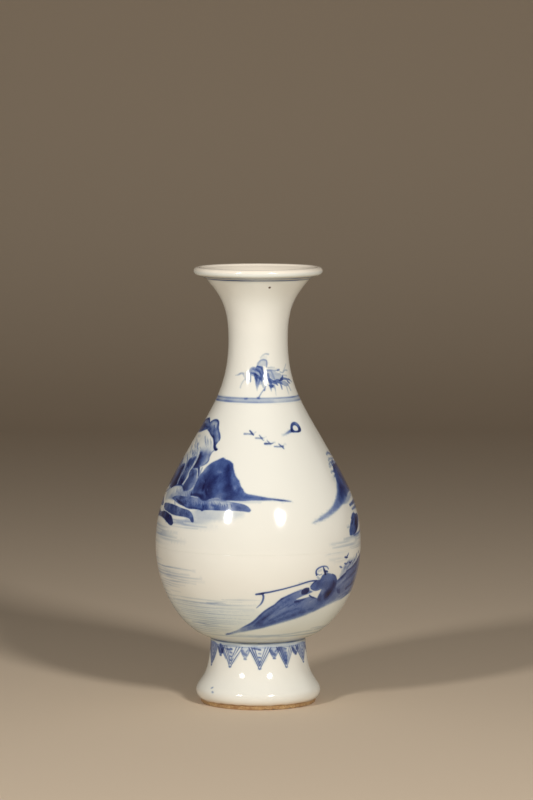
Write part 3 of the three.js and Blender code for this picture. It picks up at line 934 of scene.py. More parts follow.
lower.strokes([
    ([(3, 45.8), (9, 49), (15, 52.2), (21, 55)], (0.6, 1.6, 0.8), 0.24),
    ([(2.6, 50.4), (6, 52.8), (10, 55), (13, 57)], (0.5, 1.1, 0.6), 0.2),
    ([(-2.6, 45.4), (1, 48), (4, 50.6), (7, 52.6)], (0.4, 0.7, 0.4), 0.22),
    ([(12, 47.4), (20, 50.2), (28, 52.8)], (0.5, 1.1, 0.6), 0.12),
    ([(22, 55.4), (27, 56.4), (33, 56.2), (37, 55.4)], (1, 1.4, 1), 0.06),
    ([(24, 60.4), (26.5, 61.6), (27, 62.4)], (1, 1.6, 0.8), 0.2),
    ([(25, 53.4), (29, 54.2), (31, 55.2)], (1, 1.7, 1), 0.22),
    ([(52.4, 62.4), (56, 64), (60, 66)], (1.6, 2.4, 1.6), 0.3),
    ([(52, 59.2), (60, 62.4), (68, 64.6), (80, 67)], (0.6, 1.2, 0.6), 0.22),
    ([(56, 56.4), (66, 58.6), (78, 60.4)], (0.6, 1.3, 0.6), 0.26),
    ([(6, 43.4), (16, 45.6), (26, 47.6), (37, 50.2)], (1, 1.8, 1.4), 0.32),
    ([(48, 53), (57, 54.9), (66, 56.4)], (1.2, 2.2, 1.4), 0.34),
    ([(-10, 42.9), (-5, 44.2), (-2, 44.8)], (0.5, 0.9, 0.5), 0.26),
    ([(-14, 41), (-7, 42.6), (-1, 44)], (0.5, 0.8, 0.5), 0.2),
], soft=0.5, lift=True, dry=0.3, seed=0)
lower.strokes([
    ([(-27.4, 38.5), (-25, 38.9), (-20, 40.1), (-15, 41.4)], (0.9, 0.8, 0.7), (0.5, 0.44, 0.4)),
    ([(-15, 41.6), (-9.5, 43.7), (-5, 45.4), (-1.8, 47.3), (1.5, 50)], (0.4, 1, 0.8), (0.4, 0.7, 0.72)),
    ([(-27.8, 38.5), (-25.6, 38.8), (-22.6, 39.1)], (0.5, 1.3, 0.6), (0.5, 0.7, 0.4)),
    ([(1, 49.7), (4, 51.9), (8, 54.2), (10.4, 55.4), (12.4, 57.2), (15, 58.9)], (0.8, 0.9, 0.8),
     (0.72, 0.84, 0.78)),
    ([(14, 58.4), (18, 60), (22, 61.5), (26, 62.7)], (0.9, 0.8, 0.5), (0.76, 0.7, 0.56)),
    ([(14.6, 55), (16.6, 56.8), (19, 58.6)], (1, 1.5, 1), 0.5),
    ([(-2.4, 44.2), (-0.4, 45.2), (1.6, 46.8)], (1.2, 2.4, 1.2), 0.6),
    ([(2.6, 47.2), (8, 51), (12.6, 54.2)], (0.7, 1.3, 0.7), 0.68),
    ([(0, 43.8), (8, 45.4), (17, 47.8), (27, 50.2), (37, 52.2)], (0.8, 1.6, 1), 0.56),
    ([(7, 46.6), (14, 49.6), (22, 52.4), (28, 53.6)], (0.5, 0.9, 0.5), 0.6),
    ([(52, 65.2), (54, 66), (57, 67.4), (60, 68.6)], (1.1, 1.5, 0.9), 0.82),
    ([(60, 69.4), (66, 70.6), (72, 72.4), (80, 75.2), (90, 77)], (0.8, 1.1, 0.9), 0.82),
    ([(54.6, 60.4), (56.6, 59.4), (58, 58.6)], (1.4, 2.2, 1.2), 0.7),
    ([(64, 60), (74, 61.8), (86, 63), (98, 63)], (0.8, 1.8, 0.8), 0.8),
    ([(58, 64), (68, 66.6), (80, 70), (94, 72)], (0.7, 1.2, 0.7), 0.76),
], soft=0.42, dry=0.25, seed=90)
# The hairs of the brush, drawn out along the slope.
for k in range(30):
    t = -3 + 44 * unevenness(k * 1.37, 0.5, 71)
    z = 43.8 + 0.27 * (t + 3) + (1.2 + 7.0 * unevenness(k * 0.83, 1.5, 72)) * min(1, 0.35 + (t + 3) / 30)
    reach = 4 + 4 * unevenness(k * 1.9, 2.5, 73)
    marks = [(t, z), (t + reach * 0.5, z + reach * 0.25), (t + reach, z + reach * 0.46)]
    lower.stroke(marks, (0.2, 0.4, 0.2), 0.2 if k % 2 else 0.56, soft=0.25, lift=k % 2 == 1)

# The fisherman: legs left in reserve, a full robe, a hat, and the rod with its line.
lower.wash(
    [(23.4, 57.9), (26.6, 59.2), (30.5, 60.3), (34, 61.2), (37, 61.9), (39.8, 61.2), (38.8, 59),
     (38.3, 57.4), (35.6, 58), (33, 59), (30.6, 58.6), (27, 58)],
    0.97, feather=0.35, mottle=0, pool=0, lift=True,
)
lower.wash(
    [(31.6, 64.4), (32.8, 65.7), (35, 66.5), (37, 66.6), (38, 67.8), (38.6, 69), (40.2, 69.9), (42.2, 70.2),
     (44.3, 69.8), (46.6, 69.2), (49, 68.2), (50.4, 66.8), (51.2, 65), (51.4, 62.5), (51, 60), (49.6, 57.6),
     (47, 55.8), (43, 55.2), (39.2, 55.8), (38.2, 57.5), (38.8, 59.6), (39.6, 61.4), (39.8, 62.6),
     (38.8, 62.5), (36.6, 62), (34.4, 62.1), (32.6, 62.7), (31.5, 63.6)],
    [(41, 68.4, 0.66, 0.2), (45, 67, 0.6), (36, 65.4, 0.78, 0.3), (34, 63.8, 0.68), (43, 64.6, 0.7, 0.6),
     (47.6, 67, 0.7, 0.3), (50, 62, 0.66, 0.5), (46.4, 59.8, 0.84, 0.8), (45.4, 58.2, 0.84, 0.7),
     (40.4, 57.6, 0.6, 0.5), (41.4, 61, 0.52, 0.4), (48, 64, 0.86, 0.5), (49, 58, 0.56, 0.2),
     (44, 56, 0.36, 0.2)],
    feather=0.5, mottle=0.12, pool=0.08, seed=8,
)
lower.stroke([(48.6, 65.6), (49, 63), (48, 60.4), (46.2, 58.6)], (1, 2, 1.4), 0.7, soft=0.5, violet=0.4)
lower.stroke([(40.4, 61.4), (41.4, 59.4), (42.2, 57.4)], (0.5, 0.8, 0.5), 0.24, soft=0.4, lift=True)
lower.wash(
    [(26.2, 62.5), (28, 63.5), (30.6, 63.5), (31.1, 62.4), (30.2, 60.8), (28.5, 60.3), (26.4, 60.3),
     (26, 61.3)],
    0.84, feather=0.3, violet=0.6, seed=2,
)
lower.strokes([
    ([(22.9, 56.6), (25.5, 56.9), (28, 57.6), (30.6, 58.1)], (1.2, 1.2, 0.4), (0.8, 0.7, 0.4), 0.2),
    ([(31.8, 59.6), (33.2, 58.7), (35.4, 58), (38.4, 57.3)], (0.6, 0.9, 0.5), (0.84, 0.8, 0.5), 0.2),
    ([(31.9, 61.6), (32.8, 61.1)], 0.6, 0.3),
    ([(34.8, 69.8), (34.2, 71), (34.4, 72.2), (35.4, 73), (37.6, 73.7), (39.8, 73.8), (41.8, 73.3),
      (42.9, 72.2)],
     (1, 0.8, 0.6), (0.85, 0.6, 0.5)),
    ([(39, 73.4), (39.6, 72.2), (40.4, 71), (40.9, 69.8)], (0.7, 1.2, 1.2), (0.6, 0.9, 1), 0.4),
    ([(41.2, 71.2), (42.2, 70.9)], 1, 0.8, 0.2),
    ([(35.4, 70.2), (36.8, 69.6), (38.2, 69.9)], 0.6, 0.36),
    ([(35.6, 68.6), (36.8, 67.7), (37.9, 67)], 1.2, 0.22),
    ([(36, 71.6), (37.6, 72)], 1.3, 0.14),
    ([(46.5, 69.3), (49.2, 68.1), (50.9, 66.2), (51.6, 63.4), (51.2, 61)], (0.5, 0.8, 0.5), (0.7, 0.74, 0.5),
     0.3),
    ([(31.6, 64.2), (33.2, 65.8), (35.2, 66.7), (37.4, 66.8)], (0.4, 0.7, 0.6), 0.7, 0.3),
    ([(32, 63), (34.6, 61.9), (37.4, 61.9), (40, 62.6)], 0.5, 0.6, 0.1),
    ([(-1, 61.1), (1, 61.4), (3.4, 61.8), (6, 62.1), (10, 62.8), (15, 63.7), (20, 64.7), (25, 65.7),
      (28.5, 66.5), (31.5, 66.9), (35, 66.9)],
     (1, 0.74, 0.8), (0.7, 0.66, 0.74), 0.3),
    ([(0.6, 61.2), (2.2, 61.4), (3.8, 61.7)], (0.8, 1.1, 0.6), 0.8, 0.3),
    ([(2.7, 61.2), (3.2, 60), (3, 58.4), (2.4, 57), (1.4, 55.7), (0.3, 54.9), (-0.8, 54)], (1, 0.9, 0.6),
     (0.72, 0.62, 0.3), 0.1),
    ([(24, 66.2), (28, 66), (32, 65.4)], 1, 0.1),
], soft=0.2)

# Grasses on the crest of the bank: a thin haze of stems with darker leaves.
lower.wash(
    [(53.6, 67), (55, 70.6), (57.4, 73.4), (61, 75), (66, 75.2), (72, 75.6), (76, 76.4), (72, 73.4),
     (64, 70.6), (58, 69)],
    0.22, feather=1, mottle=0.5, violet=0.5, seed=6,
)
for t, z, lean, tall, load in [
    (56.6, 76.9, 3.2, -0.5, 0.74), (58.8, 76.6, 1.6, 1.3, 0.6), (60.2, 77.8, 0.6, 0.8, 0.3),
    (52.4, 72.6, 2.4, -0.8, 0.44), (56.8, 73.7, 2.8, -0.6, 0.5), (59.4, 73.4, 1.6, 0.7, 0.4),
    (60.4, 70.6, -0.6, 1.6, 0.5), (61.8, 73.8, 2.8, -0.5, 0.66), (63.8, 73.4, 2.4, 0.9, 0.5),
    (57.8, 70.6, 0.6, 2, 0.34), (61.6, 71.4, 1.6, 1.6, 0.42), (64, 72.4, 1, 1.4, 0.42),
    (68.4, 73.4, 1.6, 1.2, 0.5), (72, 75.6, 1.4, 1.6, 0.5), (76, 76.8, 1.8, 1.2, 0.5),
    (88, 79.2, 2, -0.8, 0.45), (94, 79, -1.6, 0.8, 0.5), (66.4, 72.2, 0.8, 1.2, 0.4),
]:
    marks = [(t, z), (t + lean * 0.5, z + tall * 0.6), (t + lean, z + tall)]
    lower.stroke(marks, (0.6, 1, 0.4), load * 1.25, soft=0.3, violet=0.3)
for k in range(14):
    t, z = 54.2 + 1.3 * k, 67.0 + 0.48 * k
    marks = [(t, z), (t + 0.3, z + 2.4), (t + 1.2 * math.sin(k), z + 4.2)]
    lower.stroke(marks, (0.5, 0.4, 0.2), 0.26, soft=0.3)

# Round the back the water goes on, past a low islet with reeds.
for k in range(34):
    start = 118 + 124 * unevenness(k * 1.7, 0.5, 31)
    end = start + 16 + 30 * unevenness(k * 2.3, 1.5, 32)
    z = 39.5 + 36 * ((k * 0.618) % 1)
    load = 0.07 + 0.10 * unevenness(k * 1.1, 2.5, 33)
    marks = [(start, z), ((start + end) / 2, z + 0.3), (end, z - 0.1)]
    loads = (load * 0.5, load, load * 0.3)
    lower.stroke(marks, (0.5, 1.3, 0.4), loads, soft=0.5, dry=0.45, seed=200 + k)
lower.wash(
    [(148, 55), (156, 57.4), (166, 59.6), (176, 60.6), (186, 60.2), (196, 58.2), (206, 55.6), (214, 53.6),
     (204, 53.2), (192, 52.6), (178, 53), (164, 53.2), (154, 53.8)],
    [(152, 55, 0.4), (166, 57.6, 0.8, 0.2), (178, 59, 0.95, 0.5), (190, 57.4, 0.72), (204, 54.8, 0.4),
     (176, 54.2, 0.5)],
    feather=0.5, mottle=0.2, seed=14,
)
for k in range(16):
    t, z = 160 + 1.9 * k, 60.0 + 1.4 * math.sin(k * 0.9) * 0.4
    bend = 2.2 * math.sin(1.3 * k)
    marks = [(t, z), (t + bend * 0.3, z + 3.4), (t + bend, z + 6.4 + math.sin(3 * k))]
    lower.stroke(marks, (0.6, 0.5, 0.2), 0.6, soft=0.25)

# Lines drawn at the wheel round the foot of the bowl, and a faint, soft grey-blue band that darkens the
# joint.
lower.ring(37.5, 0.9, 0.20, sway=0.12, soft=0.35, seed=1, wander=0.5)
lower.ring(32.8, 1.0, 0.42, sway=0.05, soft=0.4, seed=5, wander=0.3)
lower.ring(33.9, 2.6, 0.06, sway=0.05, soft=1.0, seed=6)

# The glaze ran down and lies thick, and so a little greener, under the bowl.
lower.thickness[:] = fade(66, 42, lower.profile[:, 1:]) * 0.8
lower_glaze = glazed("lower_belly_glaze")[0]
fitted(lower.piece("glazed_lower_belly"), lower_glaze, "lower_belly")


# Belly luting
# The slip between the two halves of the belly. Outside, the glaze covers it; inside, it was squeezed
# out in a small bead and smoothed with a finger.
def luting(name, cad_node, seam):
    """The slip of a joint of the belly or the neck, as high as it stands between the two walls."""
    outer = at_height(outline, seam)[0] - SKIN
    low, high = at_height(hollow, seam - SLIP), at_height(hollow, seam + SLIP)
    corners = [(outer, seam - SLIP), (outer, seam + SLIP), high, (min(low[0], high[0]) - SLIP, seam), low]
    fitted(slip_ring(name, corners), slip_clay, cad_node)


luting("belly_seam", "belly_luting", BELLY_Z)


# Upper belly
# The shoulder of the vase, thrown by itself and luted on at the widest line. The landscape is brushed
# round it: an overhanging cliff, a dark mountain above sand spits, birds, a ringed moon and a far cliff.
neck_root = at_height(outline, NECK_SEAM)
shoulder_rim = np.array([
    neck_root,
    (neck_root[0] - SKIN, NECK_SEAM),
    (neck_root[0] - SKIN, NECK_SEAM - SLIP),
    at_height(hollow, NECK_SEAM - SLIP),
])
shoulder_seat = np.array([
    at_height(hollow, BELLY_Z + SLIP),
    (BELLY_R - SKIN, BELLY_Z + SLIP),
    (BELLY_R - SKIN, BELLY_Z),
    (BELLY_R, BELLY_Z),
])
upper = Wall(
    2048,
    [
        (between(outline, BELLY_Z, NECK_SEAM), PAINTED_ROWS),
        (shoulder_rim, HIDDEN_ROWS),
        (between(hollow, BELLY_Z + SLIP, NECK_SEAM - SLIP)[::-1], INSIDE_ROWS),
        (shoulder_seat, HIDDEN_ROWS),
    ],
    painted=(0, 0),
)

# Thin water and mist under the spits, and streaks of water to either side.
upper.wash(
    [(-46, 96.2), (-42, 100.8), (-30, 101.8), (-18, 101.8), (-8, 101.2), (-10, 99.4), (-20, 97.4),
     (-30, 95.4), (-40, 94.6)],
    [(-36, 99.6, 0.19, 0.2), (-26, 99.4, 0.17, 0.2), (-14, 100.6, 0.12), (-40, 96, 0.14), (-24, 96.4, 0.06)],
    feather=1.3, mottle=0.25, seed=3,
)
for k, (start, end, z, broad, load) in enumerate([
    (-40, -14, 98.2, 1.2, 0.14), (-66, -24, 94, 1.2, 0.28), (-58, -20, 92.6, 0.9, 0.16),
    (-58, -34, 95.6, 1.5, 0.28), (-88, -52, 89.3, 1.1, 0.22), (-90, -52, 87, 1.4, 0.27),
    (-86, -44, 85.4, 1, 0.2), (-92, -60, 91.2, 1.3, 0.24), (-84, -56, 88.2, 0.8, 0.2),
    (44, 76, 84.7, 1, 0.2), (46, 84, 82.6, 1.3, 0.18), (56, 92, 86, 1.5, 0.22), (62, 94, 81.4, 1.1, 0.16),
    (-90, -58, 83.4, 1, 0.15), (70, 100, 84.2, 1.2, 0.2),
]):
    bend = 0.2 * math.sin(k * 1.9)
    thirds = ((start * 2 + end) / 3, z + bend), ((start + end * 2) / 3, z - bend)
    marks = [(start, z - 0.15), *thirds, (end, z)]
    widths, loads = (broad * 0.6, broad, broad * 0.5), (load * 0.8, load, load * 0.4)
    upper.stroke(marks, widths, loads, soft=0.4, dry=0.15, seed=20 + k)

# The cliff: a dark cap like a breaking wave over a pale face, split below into dark facets.
upper.wash(
    [(-66, 136.6), (-54, 135.6), (-46, 133.4), (-41, 130.4), (-42, 127), (-46, 123), (-49, 117), (-48, 110),
     (-56, 109.6), (-66, 112), (-76, 110), (-88, 110), (-90, 124), (-78, 127), (-68, 131)],
    [(-60, 133, 0.06, 0.3), (-48, 132.4, 0.08, 0.6), (-44, 128, 0.1, 0.6), (-58, 128, 0.12, 0.6),
     (-70, 126, 0.1, 0.4), (-57, 120, 0.12, 0.7), (-57, 114, 0.12, 0.7), (-67, 118, 0.26, 0.5),
     (-80, 116, 0.28, 0.5), (-48, 114, 0.24, 0.6)],
    feather=0.9, mottle=0.4, pool=0, seed=2,
)
upper.wash(
    [(-96, 142), (-86, 143.1), (-78, 143.9), (-72, 144.5), (-69, 144.4), (-66.5, 143.6), (-64.6, 142.7),
     (-62.8, 142.8), (-60.5, 143.4), (-57.5, 144.1), (-54, 144.4), (-50.5, 144.2), (-48, 143.4),
     (-46.2, 141.9), (-44.9, 140.4), (-43, 139.4), (-41, 138.5), (-39, 137.1), (-37.8, 135.9),
     (-37.4, 134.9), (-38.2, 134.1), (-39.3, 133.1), (-39.6, 132.2), (-38.3, 131.3), (-36.8, 130.7),
     (-36.9, 130), (-38.5, 129.8), (-40.1, 130.4), (-41.4, 131.8), (-43.1, 133.8), (-44.7, 135.2),
     (-48, 135.9), (-50.4, 136.5), (-53, 137.3), (-56, 138.1), (-59, 138.8), (-62, 139.1), (-66, 138.7),
     (-70, 138.1), (-76, 137.4), (-84, 136.8), (-96, 136.2)],
    [(-80, 143.3, 0.6), (-72, 143.9, 0.7), (-67, 143.1, 0.66), (-76, 142.4, 0.34, 0.4),
     (-70, 142.4, 0.38, 0.6), (-75, 140.4, 0.9, 0.3), (-69, 140, 0.84, 0.2), (-72, 138.4, 0.86, 0.1),
     (-64, 141.7, 0.42, 0.5), (-66, 141.8, 0.45, 0.5), (-65, 139.8, 0.6, 0.3), (-60, 140.6, 0.56, 0.6),
     (-62, 142.7, 0.7), (-55.5, 143.9, 0.7), (-50.4, 143.8, 0.7), (-55, 142.6, 0.19, 0.6),
     (-51, 142.4, 0.21, 0.8), (-57.8, 141.6, 0.32, 0.4), (-50.4, 141, 0.18, 0.7), (-53, 140.8, 0.42, 0.4),
     (-56, 139.5, 0.8, 0.2), (-53, 138.8, 0.7, 0.4), (-50.4, 138.3, 0.6, 0.6), (-47.4, 136.8, 0.8, 0.3),
     (-45.2, 135.8, 0.9, 0.3), (-48.2, 138.8, 0.78), (-45.6, 138.9, 0.38), (-43.2, 137.8, 0.36),
     (-41.6, 136.2, 0.42, 0.2), (-39.6, 135.2, 0.34, 0.5), (-44.9, 140.2, 0.8), (-47, 142.1, 0.66, 0.2),
     (-41.2, 132.8, 0.9, 0.4), (-39, 131, 0.82, 0.5), (-38.2, 136, 0.62), (-41.6, 138.3, 0.56),
     (-88, 140, 0.9, 0.3)],
    feather=0.42, mottle=0.16, pool=0.06, seed=4,
)
upper.strokes([
    ([(-84, 142.8), (-78, 143.6), (-71, 144.1), (-66.5, 143.2), (-63.6, 142.4)], (0.8, 0.9, 0.7), 0.82),
    ([(-61.5, 143.1), (-56, 144), (-51, 143.9), (-47.6, 142.9), (-45.2, 140.6), (-43.6, 139.6)],
     (0.6, 0.85, 0.7), 0.78),
    ([(-43, 139.2), (-40, 137.6), (-38, 135.9), (-37.9, 134.8)], (0.5, 0.7, 0.5), 0.68),
    ([(-84, 140.2), (-76, 140.6), (-68, 140.4), (-62, 139.8)], (1, 1.4, 0.7), 0.7),
    ([(-66, 140.6), (-62, 140.6), (-59, 140.2), (-55.5, 139.2)], (0.5, 0.8, 0.6), 0.56),
    ([(-60, 139), (-55.6, 138.4), (-50.5, 136.9), (-46.5, 136)], (0.4, 0.7, 0.6), 0.78),
    ([(-47.4, 136.4), (-44.6, 134.9), (-42.4, 133.2), (-40.8, 131.4), (-39, 130.5), (-37, 130.4)],
     (0.7, 1, 0.9), 0.9),
    ([(-52.6, 141.6), (-50.2, 140), (-49, 138.4)], (0.5, 0.9, 0.5), 0.62),
    ([(-76, 135.4), (-71, 135.5), (-68, 135.1)], 0.8, 0.16),
], soft=0.32)
facets = [
    ([(-56.4, 130.9), (-53, 131.1), (-49, 130.8), (-45, 130.1), (-42.6, 129.2), (-41.6, 128), (-42, 126),
      (-41.5, 124.3), (-43.5, 123), (-46.5, 122.4), (-49, 122), (-49.8, 121.2), (-52, 120.8), (-54.6, 120.6),
      (-55, 122.4), (-54.6, 125), (-55.4, 127.6), (-57, 129.5)],
     [(-55, 130.2, 0.14, 0.3), (-51, 129.8, 0.13, 0.8), (-46, 129.7, 0.2, 0.5), (-51, 128, 0.44, 0.2),
      (-46, 127.8, 0.44, 0.2), (-53.2, 126.4, 1.1, 0.5), (-51.4, 126.4, 0.9, 0.4), (-52, 124, 0.96, 0.5),
      (-50, 122.6, 0.8, 0.3), (-48, 125.6, 0.62), (-45, 126.4, 0.42), (-43.8, 124.6, 0.3),
      (-43, 126.8, 0.42, 0.7), (-53.2, 121.6, 0.8, 0.3), (-47, 123.3, 0.46), (-45, 124, 0.26)]),
    ([(-66.6, 124.6), (-63, 125.6), (-60, 126.2), (-57.9, 126), (-57.2, 124.5), (-57.6, 122), (-58.4, 119),
      (-58.1, 116), (-59.2, 113.8), (-60.6, 112.4), (-63, 112.2), (-66, 112.4), (-66.2, 116), (-66, 119),
      (-66.6, 121.6), (-67.4, 123.8)],
     [(-62, 125.7, 0.4, 0.2), (-59.6, 124.2, 0.72, 0.3), (-64.6, 123.6, 0.72, 0.4), (-64.2, 121, 0.8, 0.5),
      (-60.6, 121.6, 0.68, 0.5), (-61, 119, 0.6, 0.5), (-63.2, 116.5, 0.78, 0.6), (-62, 113.6, 0.96, 0.5),
      (-59.6, 117, 0.46, 0.7)]),
    ([(-78.4, 120.6), (-74, 121.8), (-70.6, 121.8), (-68.6, 120), (-68.6, 117), (-68, 114), (-67.4, 112.2),
      (-70, 111.2), (-75, 110), (-79.4, 110), (-79.2, 113), (-78.8, 117)],
     [(-72.4, 119.5, 1, 0.6), (-71, 116, 1.04, 0.6), (-72, 112.5, 1, 0.5), (-74.8, 121, 0.56),
      (-76.4, 116, 0.64, 0.3), (-76.4, 111.5, 0.8, 0.4)]),
    ([(-92, 122.6), (-86, 123.8), (-81, 122.6), (-79.4, 118), (-80.4, 112), (-86, 109.8), (-94, 109.6),
      (-95, 116)],
     [(-90, 120, 0.7, 0.2), (-83, 120, 0.55), (-84, 113, 0.9, 0.4), (-91, 112, 1, 0.4)]),
    ([(-56.8, 119.8), (-53, 120.3), (-50.2, 120.2), (-48.7, 118.5), (-47.6, 116.5), (-47, 114), (-47.2, 112),
      (-49.4, 110.5), (-54.4, 109.8), (-57, 111), (-58, 112.2), (-57.2, 114), (-56.1, 116.5),
      (-57.1, 118.5)],
     [(-55.2, 119, 0.82, 0.4), (-52, 117.6, 0.86, 0.5), (-55, 115, 0.8, 0.4), (-54, 113, 0.76, 0.6),
      (-51, 114.6, 0.66, 0.4), (-49.6, 112.5, 0.44, 0.2), (-54.6, 110.8, 0.84, 0.3), (-51, 119.5, 0.54, 0.3),
      (-48.6, 116.5, 0.44, 0.2)]),
]
for k, (shape, tones) in enumerate(facets):
    upper.wash(shape, tones, feather=0.65, mottle=0.2, pool=0.04, seed=60 + k)
upper.strokes([
    ([(-54.6, 128.2), (-54, 126), (-53.6, 123.6), (-53.8, 121.4)], (0.5, 1.2, 0.7), 0.8, 0.3),
    ([(-62.4, 129), (-58.8, 127.9), (-56.6, 126), (-56.1, 123), (-57, 120), (-57.2, 117), (-58.3, 114)],
     (0.6, 1, 0.7), 0.1, 0.7),
    ([(-72, 125), (-69, 123.6), (-67.6, 121.5), (-67.4, 118), (-67.2, 114)], (0.6, 1, 0.7), 0.36, 0.6),
    ([(-49.4, 119.6), (-47.8, 117.4), (-46.9, 115), (-46.7, 113), (-46.4, 111)], (0.6, 1, 0.8), 0.34, 0.6),
    ([(-79.4, 122), (-79.2, 117), (-80, 112)], 1.1, 0.42, 0.5),
    ([(-45.2, 121.4), (-45.5, 118), (-45.8, 114), (-46.2, 110.4)], (0.8, 1.6, 1.2), 0.3, 0.3),
    ([(-39.9, 129.9), (-41.4, 128.8), (-42.2, 126.8), (-41.7, 125), (-42.5, 123.9), (-44.7, 122.8),
      (-47.4, 122)],
     (0.5, 0.7, 0.5), 0.5, 0.3),
    ([(-48.9, 121.4), (-47.6, 120), (-46.7, 118.7), (-46.1, 117.4)], (1.2, 1, 0.5), 0.96, 0.3),
    ([(-54.8, 122.6), (-55.4, 120.6), (-56.4, 119.6)], 0.7, 0.7, 0.2),
    ([(-75.4, 109.6), (-70.5, 111), (-66, 111.8), (-60, 112.1), (-57.4, 111.4), (-54.8, 109.9)],
     (0.7, 0.9, 0.8), 0.8, 0.3),
    ([(-78, 109.4), (-82, 107.8), (-86, 106.8)], 0.9, 0.6, 0.2),
    ([(-77, 104.6), (-70, 104.9), (-64, 104.6)], 0.8, 0.16),
], soft=0.38)
# Below the facets a slope of sand, and over it the hatching of the face, the facets and the ridges.
upper.wash(
    [(-80, 108.6), (-74, 110), (-66, 111.6), (-60, 111.8), (-56, 110.8), (-53, 109.8), (-49, 110),
     (-46.4, 111.6), (-45.6, 109.4), (-46, 107.6), (-52, 106.4), (-60, 105.6), (-68, 104.8), (-78, 104)],
    [(-76, 107, 0.18, 0.2), (-70, 108.6, 0.12, 0.3), (-65, 110, 0.12, 0.3), (-62, 107, 0.24, 0.6),
     (-57.6, 108.2, 0.31, 0.5), (-52, 108.2, 0.27, 0.4), (-47.6, 109.6, 0.36, 0.3), (-47, 108, 0.44, 0.2),
     (-68, 105.6, 0.3, 0.3)],
    feather=0.6, mottle=0.3, pool=0, seed=77,
)
for k in range(22):
    t, z = -64 + 0.82 * k, 110.6 - 1.6 * unevenness(k * 1.9, 0.5, 78)
    marks = [(t, z), (t + 0.7, z - 1.3), (t + 1.1, z - 2.8)]
    upper.stroke(marks, (0.3, 0.5, 0.3), 0.14 if k % 2 else 0.5, soft=0.28, lift=k % 2 == 1)
for k in range(46):
    t = -81 + 35 * unevenness(k * 1.37, 0.5, 81)
    z = 136.6 - 0.36 * (t + 79) * unevenness(k * 0.7, 2.5, 83) - 10.5 * unevenness(k * 0.91, 1.5, 82)
    reach = 2.4 + 3.4 * unevenness(k * 1.7, 2.5, 84)
    marks = [(t, z), (t + reach * 0.5, z - reach * 0.16), (t + reach, z - reach * 0.42)]
    upper.stroke(marks, (0.4, 0.6, 0.3), (0.38, 0.28, 0.1), soft=0.35, violet=0.6)
for marks, load in [
    ([(-59.4, 135.8), (-57.4, 134.9), (-55, 133.6), (-52, 132.2), (-49.4, 130.8)], (0.48, 0.36, 0.2)),
    ([(-72, 133.6), (-68, 132.2), (-64, 130.6), (-60.6, 128.6), (-58, 126.8)], (0.32, 0.42, 0.3)),
    ([(-79, 126.2), (-74, 125.2), (-70, 123.6), (-67.6, 121.8)], (0.3, 0.42, 0.4)),
    ([(-55.4, 135.4), (-51.6, 133.8), (-48.2, 131.6)], (0.2, 0.34, 0.2)),
    ([(-50, 135.2), (-47, 133.6), (-44.6, 131.4)], (0.22, 0.28, 0.16)),
    ([(-78, 134.4), (-74, 133.2), (-70, 131.4), (-66.6, 129.6)], (0.3, 0.36, 0.2)),
    ([(-81, 131), (-77, 129.8), (-73, 128), (-70, 126.2)], (0.3, 0.36, 0.24)),
]:
    upper.stroke(marks, (0.4, 0.7, 0.5), load, soft=0.35, violet=0.6)
for k in range(44):
    t = -79 + 32 * unevenness(k * 0.77, 3.5, 5)
    z = 112 + 12 * unevenness(k * 1.31, 4.5, 6)
    marks = [(t, z + 0.8), (t + 0.8, z), (t + 1.4, z - 1.0)]
    upper.stroke(marks, (0.4, 0.4, 0.2), (0.5, 0.5, 0.3) if k % 2 else 0.34, soft=0.28, lift=k % 2 == 0)

